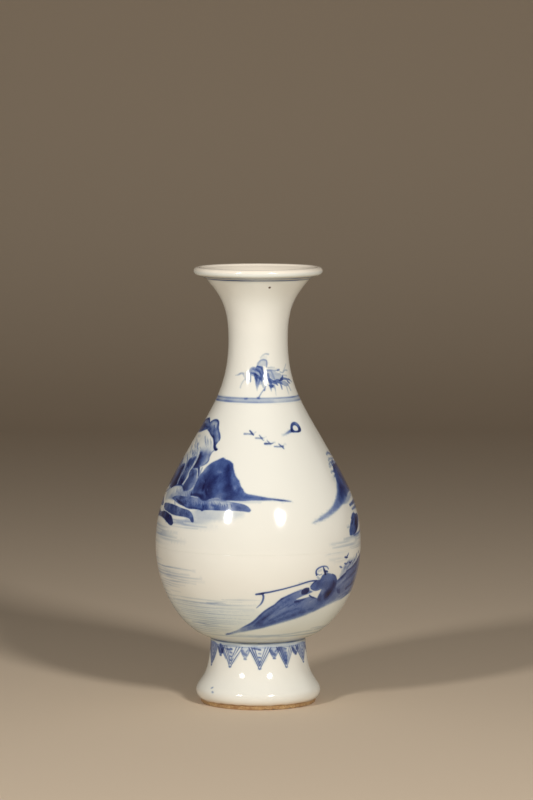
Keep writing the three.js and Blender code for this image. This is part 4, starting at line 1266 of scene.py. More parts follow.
# The mountain: one loaded wash, heaped almost black in two places, that runs out in a long low tail.
upper.wash(
    [(-47.2, 108.2), (-46.2, 112), (-45.4, 116), (-44.6, 118.4), (-43, 119.6), (-42, 121.4), (-40, 122.9),
     (-36.4, 124.6), (-33, 125.6), (-31, 126.3), (-28.6, 126.8), (-26, 126.1), (-23, 125.6), (-20.6, 124.8),
     (-19.2, 123.9), (-18.6, 122.5), (-17.4, 120.5), (-16, 118.7), (-14.4, 117.2), (-12.8, 116.3),
     (-12, 115), (-11, 113.5), (-9.7, 112.5), (-8.8, 111.3), (-7, 110.4), (-3, 109.8), (2, 109.1),
     (6, 108.5), (10, 108.1), (14.4, 107.4), (20.4, 106.4), (15, 106.7), (10, 107.2), (4, 107.2),
     (-3, 107.2), (-10, 106.9), (-16, 107), (-21, 107), (-25, 107.9), (-30, 107.6), (-33, 106.4),
     (-36.5, 106.4), (-40, 107.6), (-44, 107.9)],
    [(-44.4, 118.6, 0.6, 0.1), (-45.6, 113.8, 0.8, 0.1), (-44, 112, 0.9, 0.1), (-42, 115.5, 0.88, 0.1),
     (-40.6, 121, 0.58, 0.2), (-43, 118.4, 0.66, 0.1), (-36, 121.6, 0.85, 0.1), (-33, 125, 0.72),
     (-28.6, 125.4, 0.76), (-24, 124.8, 0.78), (-29, 122.7, 0.85), (-28.2, 120, 0.72, 0.1),
     (-33, 119.3, 0.84, 0.2), (-37, 117.6, 0.9, 0.5), (-36, 115, 0.94, 0.8), (-38, 113, 0.92, 0.8),
     (-34, 112.4, 0.94, 0.9), (-41, 110, 0.86, 0.4), (-36.6, 108.4, 0.86, 0.7), (-32, 111, 0.94, 0.9),
     (-31, 116, 0.92, 0.3), (-28, 118, 0.96, 0.1), (-25.6, 115.4, 0.82), (-26, 112.4, 0.68),
     (-29, 111.2, 0.78, 0.1), (-23.4, 121.4, 0.84, 0.2), (-21.4, 119, 0.86, 0.2), (-22, 115.6, 0.84, 0.2),
     (-20.4, 113, 0.9, 0.6), (-19.9, 123.4, 0.8), (-18.2, 118.6, 0.72), (-18, 112, 0.92, 0.5),
     (-15, 113, 0.62, 0.1), (-16, 111, 0.86, 0.2), (-13, 112, 0.88), (-12.8, 115, 0.66), (-11, 110.6, 0.64),
     (-8, 110, 0.58), (-18, 109, 0.84, 0.6), (-24, 109, 0.56, 0.4), (-12, 108.4, 0.7, 0.3), (-4, 108.4, 0.6),
     (2, 108.2, 0.62), (6, 107.9, 0.58, 0.2), (13, 107.3, 0.44, 0.1), (18, 106.7, 0.38, 0.1)],
    feather=0.5, mottle=0.16, pool=0.03, seed=9,
)
upper.strokes([
    ([(-46.4, 108.6), (-43, 108.7), (-39, 108.3), (-36.5, 107.2)], (0.8, 1, 0.5), 0.78, 0.4),
    ([(-23, 123), (-22, 120), (-20.8, 117), (-19.4, 114)], (1.8, 3.6, 2.4), 0.6, 0.2),
    ([(-19.6, 124.2), (-18, 121), (-15.6, 118), (-13, 116.2)], (0.4, 0.6, 0.5), 0.6),
    ([(-14, 110.2), (-8, 109), (-2, 108.5), (3, 108.1)], (0.8, 1, 0.6), 0.5),
    ([(10, 107.6), (14, 107.2), (20.6, 106.5)], (0.7, 0.8, 0.4), (0.6, 0.7, 0.44), 0.4),
    ([(-31, 107.4), (-26, 107.3), (-20, 106.9)], (1.2, 1.6, 1), 0.36, 0.6),
    ([(-32, 106.6), (-26, 106.8), (-21, 106.7)], (0.4, 0.5, 0.4), 0.4, 0.2),
    ([(-21, 106.5), (-13, 106.5), (-5, 106.3), (2, 106.5)], (0.8, 1.1, 0.6), 0.14, 0.2),
], soft=0.5, dry=0.1, seed=90)
upper.strokes([
    ([(-30.6, 119.4), (-28.6, 119.8), (-26.8, 120.4)], (0.9, 1.6, 0.9), 0.22),
    ([(-27, 117.4), (-26, 115.4), (-25, 113.4)], (1.2, 2, 1.2), 0.08),
    ([(-15.6, 114.2), (-14.9, 112.8), (-14.9, 111.6)], (0.7, 1.3, 0.7), 0.3),
    ([(-12.8, 115.4), (-12.2, 113.6), (-10.6, 112.2)], 0.9, 0.08),
    ([(-19, 119.4), (-17.6, 117.8), (-16, 116.4)], (0.7, 1.2, 0.7), 0.14),
    ([(-41, 110.6), (-39.6, 109.8), (-38, 109.6)], (0.8, 1.2, 0.8), 0.24),
    ([(-37, 109.6), (-35.4, 108.4)], 1.2, 0.3),
    ([(-46.6, 112.6), (-46.2, 110.4), (-45.6, 109.2)], 0.9, 0.5),
    ([(-42.6, 122.6), (-41.4, 120.8), (-42.4, 119)], (0.8, 1.4, 0.8), 0.2),
], soft=0.6, lift=True)
# Fine slanting hairs in the dark left half of it.
for k in range(36):
    t = -46 + 17 * unevenness(k * 0.87, 5.5, 91)
    z = 107.4 + 12 * unevenness(k * 1.21, 6.5, 92)
    marks = [(t, z + 0.9), (t + 0.7, z), (t + 1.1, z - 1.1)]
    upper.stroke(marks, (0.3, 0.5, 0.2), 0.13 if k % 2 else 0.7, soft=0.3, lift=k % 2 == 1)

# Sand spits: washes combed with short slanting strokes, smooth and rounded at the tip.
spits = [
    ([(-63, 106.6), (-56, 107.2), (-50, 107.2), (-45, 107.5), (-40, 107.4), (-35, 106.7), (-28, 106.9),
      (-21, 106.8), (-15, 106.2), (-10.4, 105.7), (-7.4, 105), (-5.2, 103.8), (-4.2, 102.5), (-5, 101.8),
      (-8, 102), (-14, 102.2), (-20, 102.1), (-28, 102), (-33, 101.8), (-35, 101.2), (-36.6, 101.9),
      (-45, 101.8), (-50, 102.6), (-55, 103.3), (-62, 104.6), (-66, 105.4)],
     [(-60, 106, 0.5, 0.3), (-54, 104.6, 0.84, 0.4), (-50, 105, 0.84, 0.3), (-50, 106.4, 0.5, 0.2),
      (-46, 103.6, 0.7, 0.1), (-42, 106.4, 0.42, 0.2), (-38, 103.2, 0.72, 0.1), (-36, 105.4, 0.46, 0.1),
      (-33, 102.8, 0.76, 0.2), (-29, 104.4, 0.34, 0.3), (-26, 106.2, 0.24, 0.5), (-25, 102.9, 0.72, 0.2),
      (-22, 105.6, 0.3, 0.5), (-20, 103.2, 0.54, 0.2), (-17.6, 104.5, 0.22, 0.4), (-15, 104.4, 0.46, 0.3),
      (-12, 103.8, 0.66, 0.5), (-8.6, 104.4, 0.54, 0.4), (-6, 102.8, 0.58), (-12, 105.6, 0.44, 0.1)]),
    ([(-76, 101.6), (-70, 102.6), (-60, 102.5), (-50, 101.5), (-45, 101), (-42, 99.8), (-40, 97.6),
      (-39.6, 95.6), (-41, 95.6), (-43, 97), (-46, 97.5), (-58, 97.8), (-66, 98.7), (-72, 99.4)],
     [(-70, 101.4, 0.6, 0.5), (-64, 100.6, 0.74, 0.5), (-58, 100.4, 0.78, 0.6), (-50, 99.8, 0.72, 0.6),
      (-45, 98.6, 0.72, 0.5), (-42.4, 98.8, 0.5, 0.2), (-41, 96.6, 0.72, 0.4), (-54, 101.6, 0.46, 0.5),
      (-60, 98.6, 0.94, 0.4)]),
    ([(-96, 98), (-86, 98.4), (-78, 97.6), (-72, 98.5), (-65, 98), (-60, 97), (-58, 95.5), (-56.8, 93.6),
      (-58.4, 92.6), (-61, 92.8), (-65, 94), (-70, 95), (-78, 95.5), (-88, 94.6), (-98, 94.8)],
     [(-90, 96, 0.7, 0.3), (-80, 96.6, 0.8, 0.2), (-72, 96.8, 0.9, 0.6), (-64, 96, 0.92, 0.7),
      (-59, 93.8, 0.96, 0.7)]),
    ([(-100, 104), (-90, 104.8), (-82, 103.4), (-78, 101.2), (-84, 100.4), (-92, 100.8), (-102, 101)], 0.6),
]
for k, (shape, tones) in enumerate(spits):
    upper.wash(shape, tones, feather=0.38, mottle=0.2, seed=110 + k)
combs = [(-62, -16, 107.0, 102.4, 66), (-76, -46, 102.0, 98.0, 36), (-94, -62, 97.9, 95.0, 26),
         (-98, -82, 104, 101, 10)]
for k, (start, end, top, bottom, count) in enumerate(combs):
    for j in range(count):
        t = start + (end - start) * (j + 0.8 * unevenness(j * 1.7, k, 7)) / count
        crown = top - 1.6 * unevenness(j * 0.9, k, 8)
        foot_of = bottom + (crown - bottom) * 0.5 * unevenness(j * 1.3, k, 9)
        marks = [(t, crown), (t + 0.9, (crown + foot_of) / 2 + 0.3), (t + 1.4, foot_of)]
        lift = j % 2 == 1
        load = (0.16, 0.3, 0.1) if lift else (0.3, 0.62 + 0.2 * unevenness(j * 2.1, k, 10), 0.5)
        upper.stroke(marks, (0.2, 0.42, 0.25), load, soft=0.28, lift=lift)
for k in range(7):
    t = -30.4 + 1.7 * k
    marks = [(t, 106.5), (t + 0.6, 105.8), (t + 0.9, 105.0 + 0.4 * math.sin(k))]
    upper.stroke(marks, (0.5, 0.7, 0.3), 0.26, soft=0.4, lift=True)
upper.strokes([
    ([(-60, 105.4), (-55, 104.2), (-50.5, 103.2)], (0.8, 1.2, 0.8), 0.86),
    ([(-48, 102.4), (-40, 102.3), (-35, 101.8)], (0.6, 0.9, 0.5), 0.76),
    ([(-35.4, 104.6), (-34.4, 103.2), (-34.6, 101.9)], (0.5, 0.8, 0.6), 0.76),
], soft=0.35)
upper.stroke([(-28.8, 104.6), (-27.4, 104.1), (-26.2, 104.2)], 0.9, 0.6, soft=0.4)
upper.stroke([(-17.6, 105.8), (-17, 104.4), (-16.4, 103.4)], 1, 0.3, soft=0.5, lift=True)

# Four birds in a line, and the moon with its ring and a trail of cloud.
upper.strokes([
    ([(-13.2, 138.4), (-9.5, 138.4), (-5, 138.3)], (1, 0.8, 0.9), (0.36, 0.32, 0.4)),
    ([(-8.2, 139.9), (-6.6, 139.1), (-5.4, 138.4), (-4.4, 137.9)], (0.6, 0.9, 0.6), 0.72),
    ([(-4.8, 138.5), (-2.2, 139.3)], 0.5, 0.18),
    ([(-2, 136.5), (1, 136.4), (4, 136.4)], (0.9, 0.8, 0.9), (0.34, 0.32, 0.44)),
    ([(1.4, 137.8), (2.4, 137.1), (3.4, 136.2), (5.2, 135.3)], (0.6, 0.8, 0.5), (0.34, 0.48, 0.32)),
    ([(4.4, 136.4), (8.4, 137.2)], (0.5, 0.4), (0.2, 0.1)),
    ([(6.3, 133.8), (9, 133.8), (12, 133.8), (15.4, 134.5)], (1.1, 0.9, 0.4), (0.62, 0.56, 0.22)),
    ([(8.4, 135.2), (9.7, 134.5), (11.4, 133.6)], 0.6, (0.3, 0.5, 0.4)),
    ([(14.6, 132.4), (18, 132.3), (22.2, 132.4)], (0.8, 0.8, 0.9), (0.36, 0.34, 0.5)),
    ([(18.8, 133.5), (20.4, 132.6), (21.8, 131.9), (22.6, 131.2)], (0.6, 0.9, 0.6), (0.4, 0.62, 0.4)),
    ([(22, 132.7), (25, 133.3)], 0.5, 0.16),
], soft=0.3, violet=0.5)
upper.stroke([(23, 137.3), (26.4, 137.8), (29, 138.3), (32, 138.9), (35.4, 139.4)], (0.5, 1.1, 1.7),
             (0.12, 0.34, 0.6), soft=0.4)
upper.wash(
    [(34.6, 139.1), (35.2, 140.6), (36.8, 142.1), (39, 143), (42, 143.4), (45.2, 143.3), (47.6, 142.5),
     (48.9, 141.1), (48.6, 139.8), (47.2, 138.9), (45, 138.5), (42, 138.4), (39, 138.5), (36.4, 138.6)],
    [(36, 139.6, 0.98), (36.2, 141, 0.82), (38.6, 142.3, 0.76, 0.5), (42, 142.5, 0.78),
     (45.6, 142.9, 0.42, 0.2), (46.6, 141.5, 0.66), (47.4, 140, 1.05, 0.3), (45, 139, 1, 0.5),
     (40, 138.9, 0.86), (37, 139, 0.94)],
    feather=0.34, mottle=0.08, seed=3,
)
upper.wash(
    [(38.2, 139.9), (38.6, 141.1), (40.3, 141.8), (42.5, 141.8), (44.4, 141.1), (44.9, 140.2), (44.1, 139.5),
     (42, 139.2), (39.8, 139.3)],
    0.96, feather=0.3, mottle=0, pool=0, lift=True,
)

# The far cliff hangs like a crescent from the right, with trees on it and a clump below.
upper.wash(
    [(32.4, 95.6), (36, 97.2), (40, 98.8), (44, 99.9), (48, 101.6), (52, 103.6), (55, 105.4), (57, 106.9),
     (59.6, 108.7), (61.8, 111), (63.9, 113.1), (65.9, 115.1), (67.7, 116.9), (69.4, 118.6), (71, 119.7),
     (74, 120.6), (78, 121.3), (84, 121.4), (92, 120.6), (100, 119), (108, 116), (116, 111.6), (122, 107.4),
     (116, 106), (106, 106.6), (96, 107.4), (84, 107.6), (78, 107.2), (74, 106.5), (70, 105.4), (66, 104.2),
     (62, 103.2), (58, 101.9), (54, 100.6), (50, 99.4), (46, 98.2), (42, 97.1), (38, 96.3), (35, 95.6)],
    [(35, 96.3, 0.2, 0.2), (40, 97.6, 0.38), (45, 98.9, 0.46), (50, 100.6, 0.46), (53, 102.2, 0.54),
     (56, 103.5, 0.6), (60, 105.5, 0.84, 0.3), (64, 107.6, 0.96, 0.3), (67, 110, 1.06, 0.2),
     (70, 111, 0.98, 0.1), (66, 113.4, 0.86), (68, 116.4, 0.72), (64.4, 113.4, 0.36, 0.3),
     (61.4, 110.2, 0.5, 0.2), (57.6, 106.4, 0.56), (70, 107.6, 0.86, 0.4), (73, 114, 0.76, 0.1),
     (75, 117.6, 0.86, 0.2), (72, 119.4, 0.8), (80, 114, 0.92, 0.3), (62, 103.8, 0.62),
     (68, 105.2, 0.54, 0.1), (76, 107.6, 0.66, 0.3), (88, 112, 0.96, 0.4), (98, 114, 0.8, 0.2),
     (108, 110, 0.9, 0.2), (118, 108, 0.5)],
    feather=0.8, mottle=0.12, pool=0.04, seed=15,
)
upper.strokes([
    ([(60, 103.1), (66, 103.5), (74, 105), (84, 106.2)], (1.2, 2.6, 1.6), 0.26),
    ([(33, 95.7), (36, 96.4), (40, 97.4)], (0.5, 0.9, 0.9), 0.24, 0.2),
    ([(71, 101.4), (78, 101.9), (90, 102), (104, 101.6)], (1.2, 2.2, 1), 0.6, 0.2),
    ([(73, 99.2), (84, 99.6), (98, 99.2)], (1, 1.8, 0.8), 0.5),
    ([(66, 121.7), (70, 122.5), (76, 122.5), (84, 122.2), (96, 121.6)], (0.8, 1.4, 0.8), 0.34, 0.4),
    ([(71, 126.4), (76, 126.9), (82, 126.2), (90, 124.8)], (1, 1.8, 1), 0.4, 0.1),
    ([(72, 124.2), (80, 124), (90, 123.2)], 1, 0.3),
    ([(66.6, 118.3), (69.8, 118.8)], 1, 0.5, 0.4),
    ([(65.4, 115.9), (68.2, 116.8)], 1, 0.5, 0.3),
    ([(64.8, 120.6), (68.8, 121.2)], 1.1, 0.26, 0.5),
    ([(63.4, 118), (65.4, 118.6)], 1.1, 0.26, 0.4),
    ([(62.6, 114.6), (64.8, 116.4)], 1.2, 0.14, 0.4),
    ([(68.6, 123.4), (72.4, 124.4)], 1, 0.3, 0.2),
    ([(70, 119.4), (76, 120.8), (84, 120.9), (96, 119.6)], (0.7, 1.1, 0.7), 0.78, 0.3),
], soft=0.4)
upper.wash(
    [(62.6, 88.6), (62.9, 87.3), (66, 86.9), (70, 87.2), (74, 88.2), (78, 90), (82, 92), (86, 94.6),
     (82, 96.2), (78, 96.4), (75, 97), (72, 97.3), (69.6, 96.5), (67.6, 94.6), (65.4, 92.8), (64, 91),
     (62.8, 89.8)],
    [(64, 88, 0.64), (66, 89, 0.64, 0.3), (66.4, 91.4, 0.6, 0.3), (68, 90.2, 0.72, 0.3), (69.4, 92.6, 0.6),
     (71, 94.2, 0.44, 0.3), (70, 95.6, 0.78), (73, 96, 0.8), (72.6, 91.4, 1, 0.1), (75, 90.2, 1.12, 0.2),
     (78, 93, 0.95, 0.2), (82, 94, 0.8)],
    feather=0.4, mottle=0.24, seed=16,
)
for k in range(26):
    t = 63.6 + 17 * unevenness(k * 1.13, 0.5, 41)
    z = 87.6 + (t - 62) * 0.28 + 7.2 * unevenness(k * 0.71, 1.5, 42) * min(1, (t - 61) / 7)
    load = 0.46 + 0.3 * unevenness(k * 1.9, 2.5, 43)
    upper.stroke([(t, z), (t + 1, z + 0.5)], (0.9, 0.7), load, soft=0.3)
for k in range(18):
    t = 65.6 + 16 * unevenness(k * 1.43, 0.5, 44)
    z = 115.6 + 0.42 * (t - 64) + 3.6 * unevenness(k * 0.61, 1.5, 45)
    load = 0.34 + 0.4 * unevenness(k * 1.9, 2.5, 46)
    upper.stroke([(t, z), (t + 1.3, z + 0.3)], (1, 0.8), load, soft=0.35, violet=0.2)
upper.stroke([(61, 91.4), (63.6, 91.4)], 0.9, 0.26, soft=0.5)
upper.stroke([(68, 86.6), (76, 87), (90, 88), (104, 88.2)], (0.8, 1.4, 0.8), 0.5, soft=0.4)

# Round the back: far hills in thin wash, low islands with trees, a sail and a flight of birds.
for shape, load, seed in [
    ([(140, 104.4), (148, 108), (154, 112.6), (159, 115.4), (164, 114), (169, 110.4), (174, 108.2),
      (180, 109.6), (186, 113.4), (191, 117.8), (196, 119.4), (201, 117.6), (206, 113.4), (212, 109),
      (220, 106), (232, 104.6), (212, 103.8), (186, 104), (160, 103.6)],
     0.3, 5),
    ([(146, 103.8), (152, 106.4), (158, 107.2), (166, 105.6), (176, 104.6), (168, 103.4), (156, 103.2)],
     0.62, 6),
    ([(186, 103.8), (192, 107.4), (198, 110.2), (204, 108.6), (210, 105.6), (220, 103.9), (206, 103.2)], 0.7,
     7),
    ([(236, 109.6), (240, 116), (244, 121.6), (249, 125.4), (254, 127.4), (259, 127), (264, 124), (268, 117),
      (268, 109.4), (256, 107.6), (244, 107.8)],
     0.74, 8),
    ([(226, 100.2), (234, 102.8), (244, 104), (256, 104.2), (266, 103), (262, 100), (246, 98.8)], 0.86, 9),
    ([(116, 94.4), (124, 96.8), (134, 97.8), (144, 96.8), (152, 95), (142, 93.6), (126, 93.4)], 0.66, 10),
]:
    upper.wash(shape, load, feather=0.45, mottle=0.35, violet=0.2, seed=seed)
upper.strokes([
    ([(236, 110), (240, 116.4), (245, 122), (250, 125.8), (256, 127.2), (262, 125.4), (267, 119)],
     (0.6, 1, 0.7), 0.92),
    ([(246, 121), (247, 116), (246, 111)], (0.8, 1.6, 0.8), 0.95),
    ([(254, 124), (255, 118), (253.6, 112)], (0.8, 1.8, 0.8), 0.9),
    ([(262, 121), (262.6, 115), (261, 110)], (0.8, 1.6, 0.8), 1),
    ([(186.6, 112.6), (191, 117.6), (196, 119.2), (201, 117.2), (207, 112.4)], (0.4, 0.7, 0.4), 0.5),
    ([(150, 110.4), (155, 113.6), (159, 115.2), (164, 113.8)], (0.4, 0.6, 0.4), 0.46),
    ([(167.6, 97.8), (170, 97.2), (174, 97.2), (176.6, 98)], (0.6, 1.2, 0.6), 0.8),
    ([(172, 97.8), (172, 101.4), (172.2, 104.6)], 0.5, 0.7),
    ([(172.8, 98.8), (174.8, 100.4), (174.6, 103), (172.6, 104.4)], 0.7, 0.4),
], soft=0.3)
for k in range(30):
    t = 118 + 28 * unevenness(k * 1.37, 0.5, 51)
    z = 96.6 + 6.4 * unevenness(k * 0.83, 1.5, 52) * (1 - abs(t - 131) / 17)
    load = 0.6 + 0.5 * unevenness(k * 1.9, 2.5, 53)
    upper.stroke([(t, z), (t + 1.1, z + 0.4)], (1, 0.7), load, soft=0.3)
for t, tall in [(124, 5.2), (130, 8.0), (136.4, 6.2)]:
    trunk = [(t, 96.6), (t + 0.4, 96.6 + tall * 0.5), (t - 0.5, 96.6 + tall)]
    upper.stroke(trunk, (0.8, 0.5, 0.3), 0.85)
for k in range(24):
    start = 108 + 150 * unevenness(k * 1.61, 0.5, 61)
    z = 82.6 + 17.5 * ((k * 0.618) % 1)
    end = start + 12 + 22 * unevenness(k * 2.7, 1.5, 62)
    load = 0.08 + 0.09 * unevenness(k, 2.5, 63)
    marks = [(start, z), ((start + end) / 2, z + 0.3), (end, z)]
    loads = (load * 0.5, load, load * 0.4)
    upper.stroke(marks, (0.5, 1.2, 0.4), loads, soft=0.5, dry=0.4, seed=220 + k)
for k in range(5):
    t, z = 150 + 7.5 * k, 134 - 1.4 * k
    upper.stroke([(t, z), (t + 4, z - 0.1), (t + 7, z)], (0.6, 0.8, 0.6), 0.36, soft=0.3)
    upper.stroke([(t + 4, z + 1.2), (t + 5.4, z), (t + 7, z - 0.7)], (0.4, 0.7, 0.4), 0.46, soft=0.3)

upper_glaze = glazed("upper_belly_glaze")[0]
fitted(upper.piece("glazed_upper_belly"), upper_glaze, "upper_belly")


# Neck luting
# The slip between the shoulder and the neck, under the glaze outside and a small bead inside.
luting("neck_seam", "neck_luting", NECK_SEAM)


# Neck and mouth
# The neck was pulled up thin, flared at the mouth and turned over into a rolled lip. It is painted
# with two wheel-drawn rings at its root, a spray of bamboo on each side and a line under the lip.
turn = np.linspace(-0.42 * math.pi, 0.8 * math.pi, 60)
roll = np.stack([LIP_R + LIP_ROLL * np.cos(turn), LIP_Z + LIP_ROLL * np.sin(turn)], 1)
under_lip = bezier(mouth, held(mouth, 41, 1.0), (roll[0, 0] - 2.2, roll[0, 1] - 0.7), roll[0], 24)
lip_end, bore_end = roll[-1], hollow[-1]
throat = bezier(lip_end, lip_end + (-1.2, -0.6), bore_end + (1.0, 1.4), bore_end, 24)
neck_seat = np.array([
    at_height(hollow, NECK_SEAM + SLIP),
    (neck_root[0] - SKIN, NECK_SEAM + SLIP),
    (neck_root[0] - SKIN, NECK_SEAM),
    neck_root,
])
neck = Wall(
    1024,
    [
        (joined(between(outline, NECK_SEAM, mouth[1]), under_lip), PAINTED_ROWS),
        (roll, PAINTED_ROWS),
        (joined(throat, between(hollow, NECK_SEAM + SLIP, bore_end[1])[::-1]), BORE_ROWS),
        (neck_seat, HIDDEN_ROWS),
    ],
    painted=(0, 0),
)

neck.ring(154.2, 2.7, 0.21, sway=0.1, soft=0.5, seed=2, wander=0.2,
          tones=[(-90, 1.2), (-25, 1.15), (5, 1.0), (25, 0.86), (50, 0.9)])
neck.ring(
    155.1, 0.7, 0.5, sway=0.14, soft=0.35, seed=1, wander=0.3,
    tones=[(-90, 1.2), (-60, 1.1), (-45, 0.95), (-25, 0.8), (0, 0.66), (20, 0.6), (40, 0.7), (60, 0.9),
           (90, 1.1), (180, 1)],
)
neck.ring(153.3, 0.9, 0.42, sway=0.12, soft=0.4, seed=2, wander=0.25,
          tones=[(-90, 1.4), (-50, 1.2), (-20, 0.9), (10, 0.8), (40, 0.6), (60, 0.9), (90, 1.3), (180, 1.1)])
neck.stroke([(-18.6, 155), (-16, 155.1)], 1.1, 0.44, soft=0.35)
neck.stroke([(-0.6, 155.4), (1.6, 155.3)], 1.1, 0.46, soft=0.35)
neck.ring(
    214.1, 1.15, 0.66, sway=0.14, soft=0.3, seed=4, wander=0.3,
    tones=[(-90, 0.8), (-50, 1.1), (-20, 1.1), (0, 0.85), (20, 0.9), (45, 0.75), (90, 0.75), (180, 0.9)],
)
# A soft grey-blue band under the roll of the lip: partly a blue wash, partly painted shade under its
# overhang.
neck.ring(215.1, 1.6, 0.42, sway=0.1, soft=0.6, seed=4, wander=0.3)

bamboo = [
    ([(0.6, 155.4), (2.2, 156.4), (4.4, 157.6), (7, 158.7), (9.4, 159.6)], (0.7, 0.6, 0.7),
     (0.44, 0.28, 0.32)),
    ([(9.6, 159.2), (11.2, 160.4), (12.6, 161.2), (14.4, 162.2)], (1, 0.7, 0.5), (0.42, 0.3, 0.26)),
    ([(-13, 163.4), (-12.8, 165.6), (-12.6, 168), (-10.6, 169.6), (-7, 170.3)], (0.9, 0.9, 0.6),
     (0.34, 0.28, 0.3)),
    ([(-12, 167.6), (-8, 167.4), (-4, 166.9), (0, 166.2)], (0.6, 1.5, 0.5), 0.56),
    ([(-6, 167.2), (-2, 166.4), (2, 165.2), (5.6, 164)], (0.6, 1.5, 0.6), 0.52),
    ([(-9.6, 169.5), (-6, 169.3), (-3, 168.9), (0.6, 168.4)], (0.7, 1.6, 0.6), 0.42),
    ([(-4, 169.4), (0, 168.8), (3.4, 167.6)], (0.6, 1.5, 0.6), 0.46),
    ([(-1.4, 170.8), (2, 170.6), (5, 170.4), (7.2, 169.2)], (0.8, 1.1, 0.7), 0.58),
    ([(7.4, 170.4), (7.8, 168), (7.2, 165.6)], (0.9, 1, 0.6), 0.46),
    ([(3, 168.4), (4.6, 166.8), (6, 165.2), (6.4, 163.4)], (0.7, 1.3, 0.5), 0.52),
    ([(-5.6, 166.6), (-3.2, 165.2), (-1.6, 163.6)], (1, 1.7, 0.8), 0.56),
    ([(-3.2, 165), (-2.6, 163), (-1.8, 161), (-1.4, 158.8)], (1.1, 1.2, 0.25), (0.5, 0.36, 0.2)),
    ([(3.4, 165.2), (1.8, 163.4), (0.2, 161.6), (-0.6, 160.2)], (1.2, 1.2, 0.3), (0.52, 0.38, 0.2)),
    ([(-8, 168.4), (-3, 167.8), (2, 166.8), (6, 166)], 4.6, 0.28),
    ([(0, 170), (3.4, 169.2), (6.4, 167.8)], 2.4, 0.42),
    ([(-2, 164.6), (1, 163.6), (3, 163)], 2.6, 0.16),
    ([(4.2, 175), (8, 176.1), (12, 176.8), (15.4, 177), (19.6, 176.8)], (0.5, 0.7, 0.9), (0.12, 0.18, 0.24)),
    ([(-1, 171), (0.8, 172.4), (4, 173.6), (8, 174.1), (12, 174.1), (15.4, 173.7), (15.9, 172),
      (15.4, 170.6)],
     0.8, (0.22, 0.34, 0.3)),
    ([(3, 171.8), (8, 172.6), (13, 172.4)], 3, 0.17),
    ([(6, 175), (10, 175.4), (14, 175.2)], 1.6, 0.06),
    ([(17, 168.8), (24, 168.8), (32, 168.6), (38, 168.8)], (1.2, 0.8, 0.6), (0.36, 0.24, 0.3)),
    ([(37, 168.7), (40.4, 168.9)], 1, 0.44),
    ([(18, 170.2), (24, 170.3), (31, 170.2)], (0.6, 0.7, 0.4), 0.16),
    ([(23.6, 168.4), (26, 167), (27.6, 165.6), (28.6, 164.4)], (0.9, 1.1, 0.8), 0.3),
    ([(17.4, 167), (18.2, 165), (19.6, 163.4), (22, 162.6)], (1.2, 1.6, 1), 0.46),
    ([(18, 164.4), (20, 163), (22.4, 161.6), (24.4, 160.4)], (1, 1.6, 0.5), 0.5),
    ([(20.6, 164.4), (24, 163.4), (29, 162.6), (33, 161.4)], (1.2, 1.8, 0.5), 0.54),
    ([(26, 163.4), (31, 163.6), (36, 163.8), (40, 163.4)], (0.8, 1.5, 0.6), 0.56),
    ([(31, 162.6), (36, 162.8), (40, 162.4), (43, 161.6)], (0.8, 1.4, 0.5), 0.5),
    ([(38, 163.6), (42, 164), (45, 164.7), (47.4, 166)], (0.9, 1.7, 0.5), 0.64),
    ([(18.6, 161.4), (21.4, 161), (24.4, 161.2)], (1, 1.7, 0.9), 0.66),
    ([(20.2, 160.4), (20.4, 158.6)], (1.2, 0.3), (0.44, 0.22)),
    ([(26, 161.6), (27, 160.2), (27.2, 158.6)], (0.9, 0.8, 0.3), 0.3),
    ([(38.6, 162.4), (39.6, 160.8), (39.8, 159.4)], (0.8, 1, 0.6), 0.44),
    ([(42, 164.2), (48, 164.4), (56, 164), (66, 163.4)], (1.5, 1.2, 0.6), 0.5),
    ([(56, 163.2), (60, 162.2), (63, 161.8)], (0.8, 1.1, 0.5), 0.5),
    ([(42, 167.8), (48, 167.4), (55, 168.4), (63, 168.2)], 0.7, 0.24),
    ([(50, 168), (56, 169.6), (62, 171.4)], 0.6, 0.18),
    ([(42, 162.6), (48, 162), (55, 161.4)], (1.6, 3, 1.6), 0.3),
    ([(17, 167), (22, 167.4), (30, 166.2), (40, 165.6)], (3, 4.4, 3), 0.19),
    ([(20, 169.6), (28, 169.4), (36, 169)], 1.6, 0.07),
    ([(22, 166.8), (24, 165.8), (25.4, 164.6)], 1.2, 0.2),
    ([(30, 167.2), (35, 166.6), (41, 166.8)], 0.8, 0.2),
    ([(46, 166), (50, 166), (58, 165.6)], 0.8, 0.18),
    ([(27.2, 158.4), (27.2, 156.6)], 0.5, 0.12),
    ([(51, 160.4), (50.8, 158.4), (51.4, 156.6)], 0.6, (0.3, 0.2, 0.1)),
    ([(54, 162), (57, 160.2), (59, 158.4)], 0.8, 0.24),
    ([(62, 164), (67, 163), (71, 162.4)], 0.8, 0.3),
    ([(-43, 166.1), (-37, 166.4), (-33, 167), (-30, 167.3), (-26.6, 167.2)], (0.4, 0.9, 1),
     (0.14, 0.3, 0.22)),
    ([(-26, 166.8), (-22.6, 165.2), (-21, 164.2)], 0.8, 0.16),
    ([(-21.6, 164.6), (-25.4, 163.4), (-28, 161.6), (-28.6, 160.2)], 0.7, 0.16),
    ([(-24, 167), (-21, 166)], 1.8, 0.08),
    ([(5.6, 163.4), (7.4, 161.8), (9, 160.6)], 1.1, 0.22),
]
for turned in (0, 186):
    for marks, width, load in bamboo:
        neck.stroke([(t + turned, z) for t, z in marks], width, load, soft=0.26)

# The glaze drew off the top of the lip and the mouth, where the warm clay shows through, and hangs
# a little thicker under the lip. Where it drew off, its tone is also lighter: painted light on the top
# of the lip and inside the mouth.
rise = neck.profile[:, 1:]
inside = np.arange(len(rise))[:, None] > rise.argmax()
hung = 0.15 * fade(190, 208, rise) + 0.3 * fade(211, 215, rise)
drawn_off_and_lit = 1.4 * fade(LIP_Z - 0.6, LIP_Z + 1.2, rise)
neck.thickness[:] = np.where(inside, -fade(LIP_Z - 14, LIP_Z - 3, rise), hung - drawn_off_and_lit)

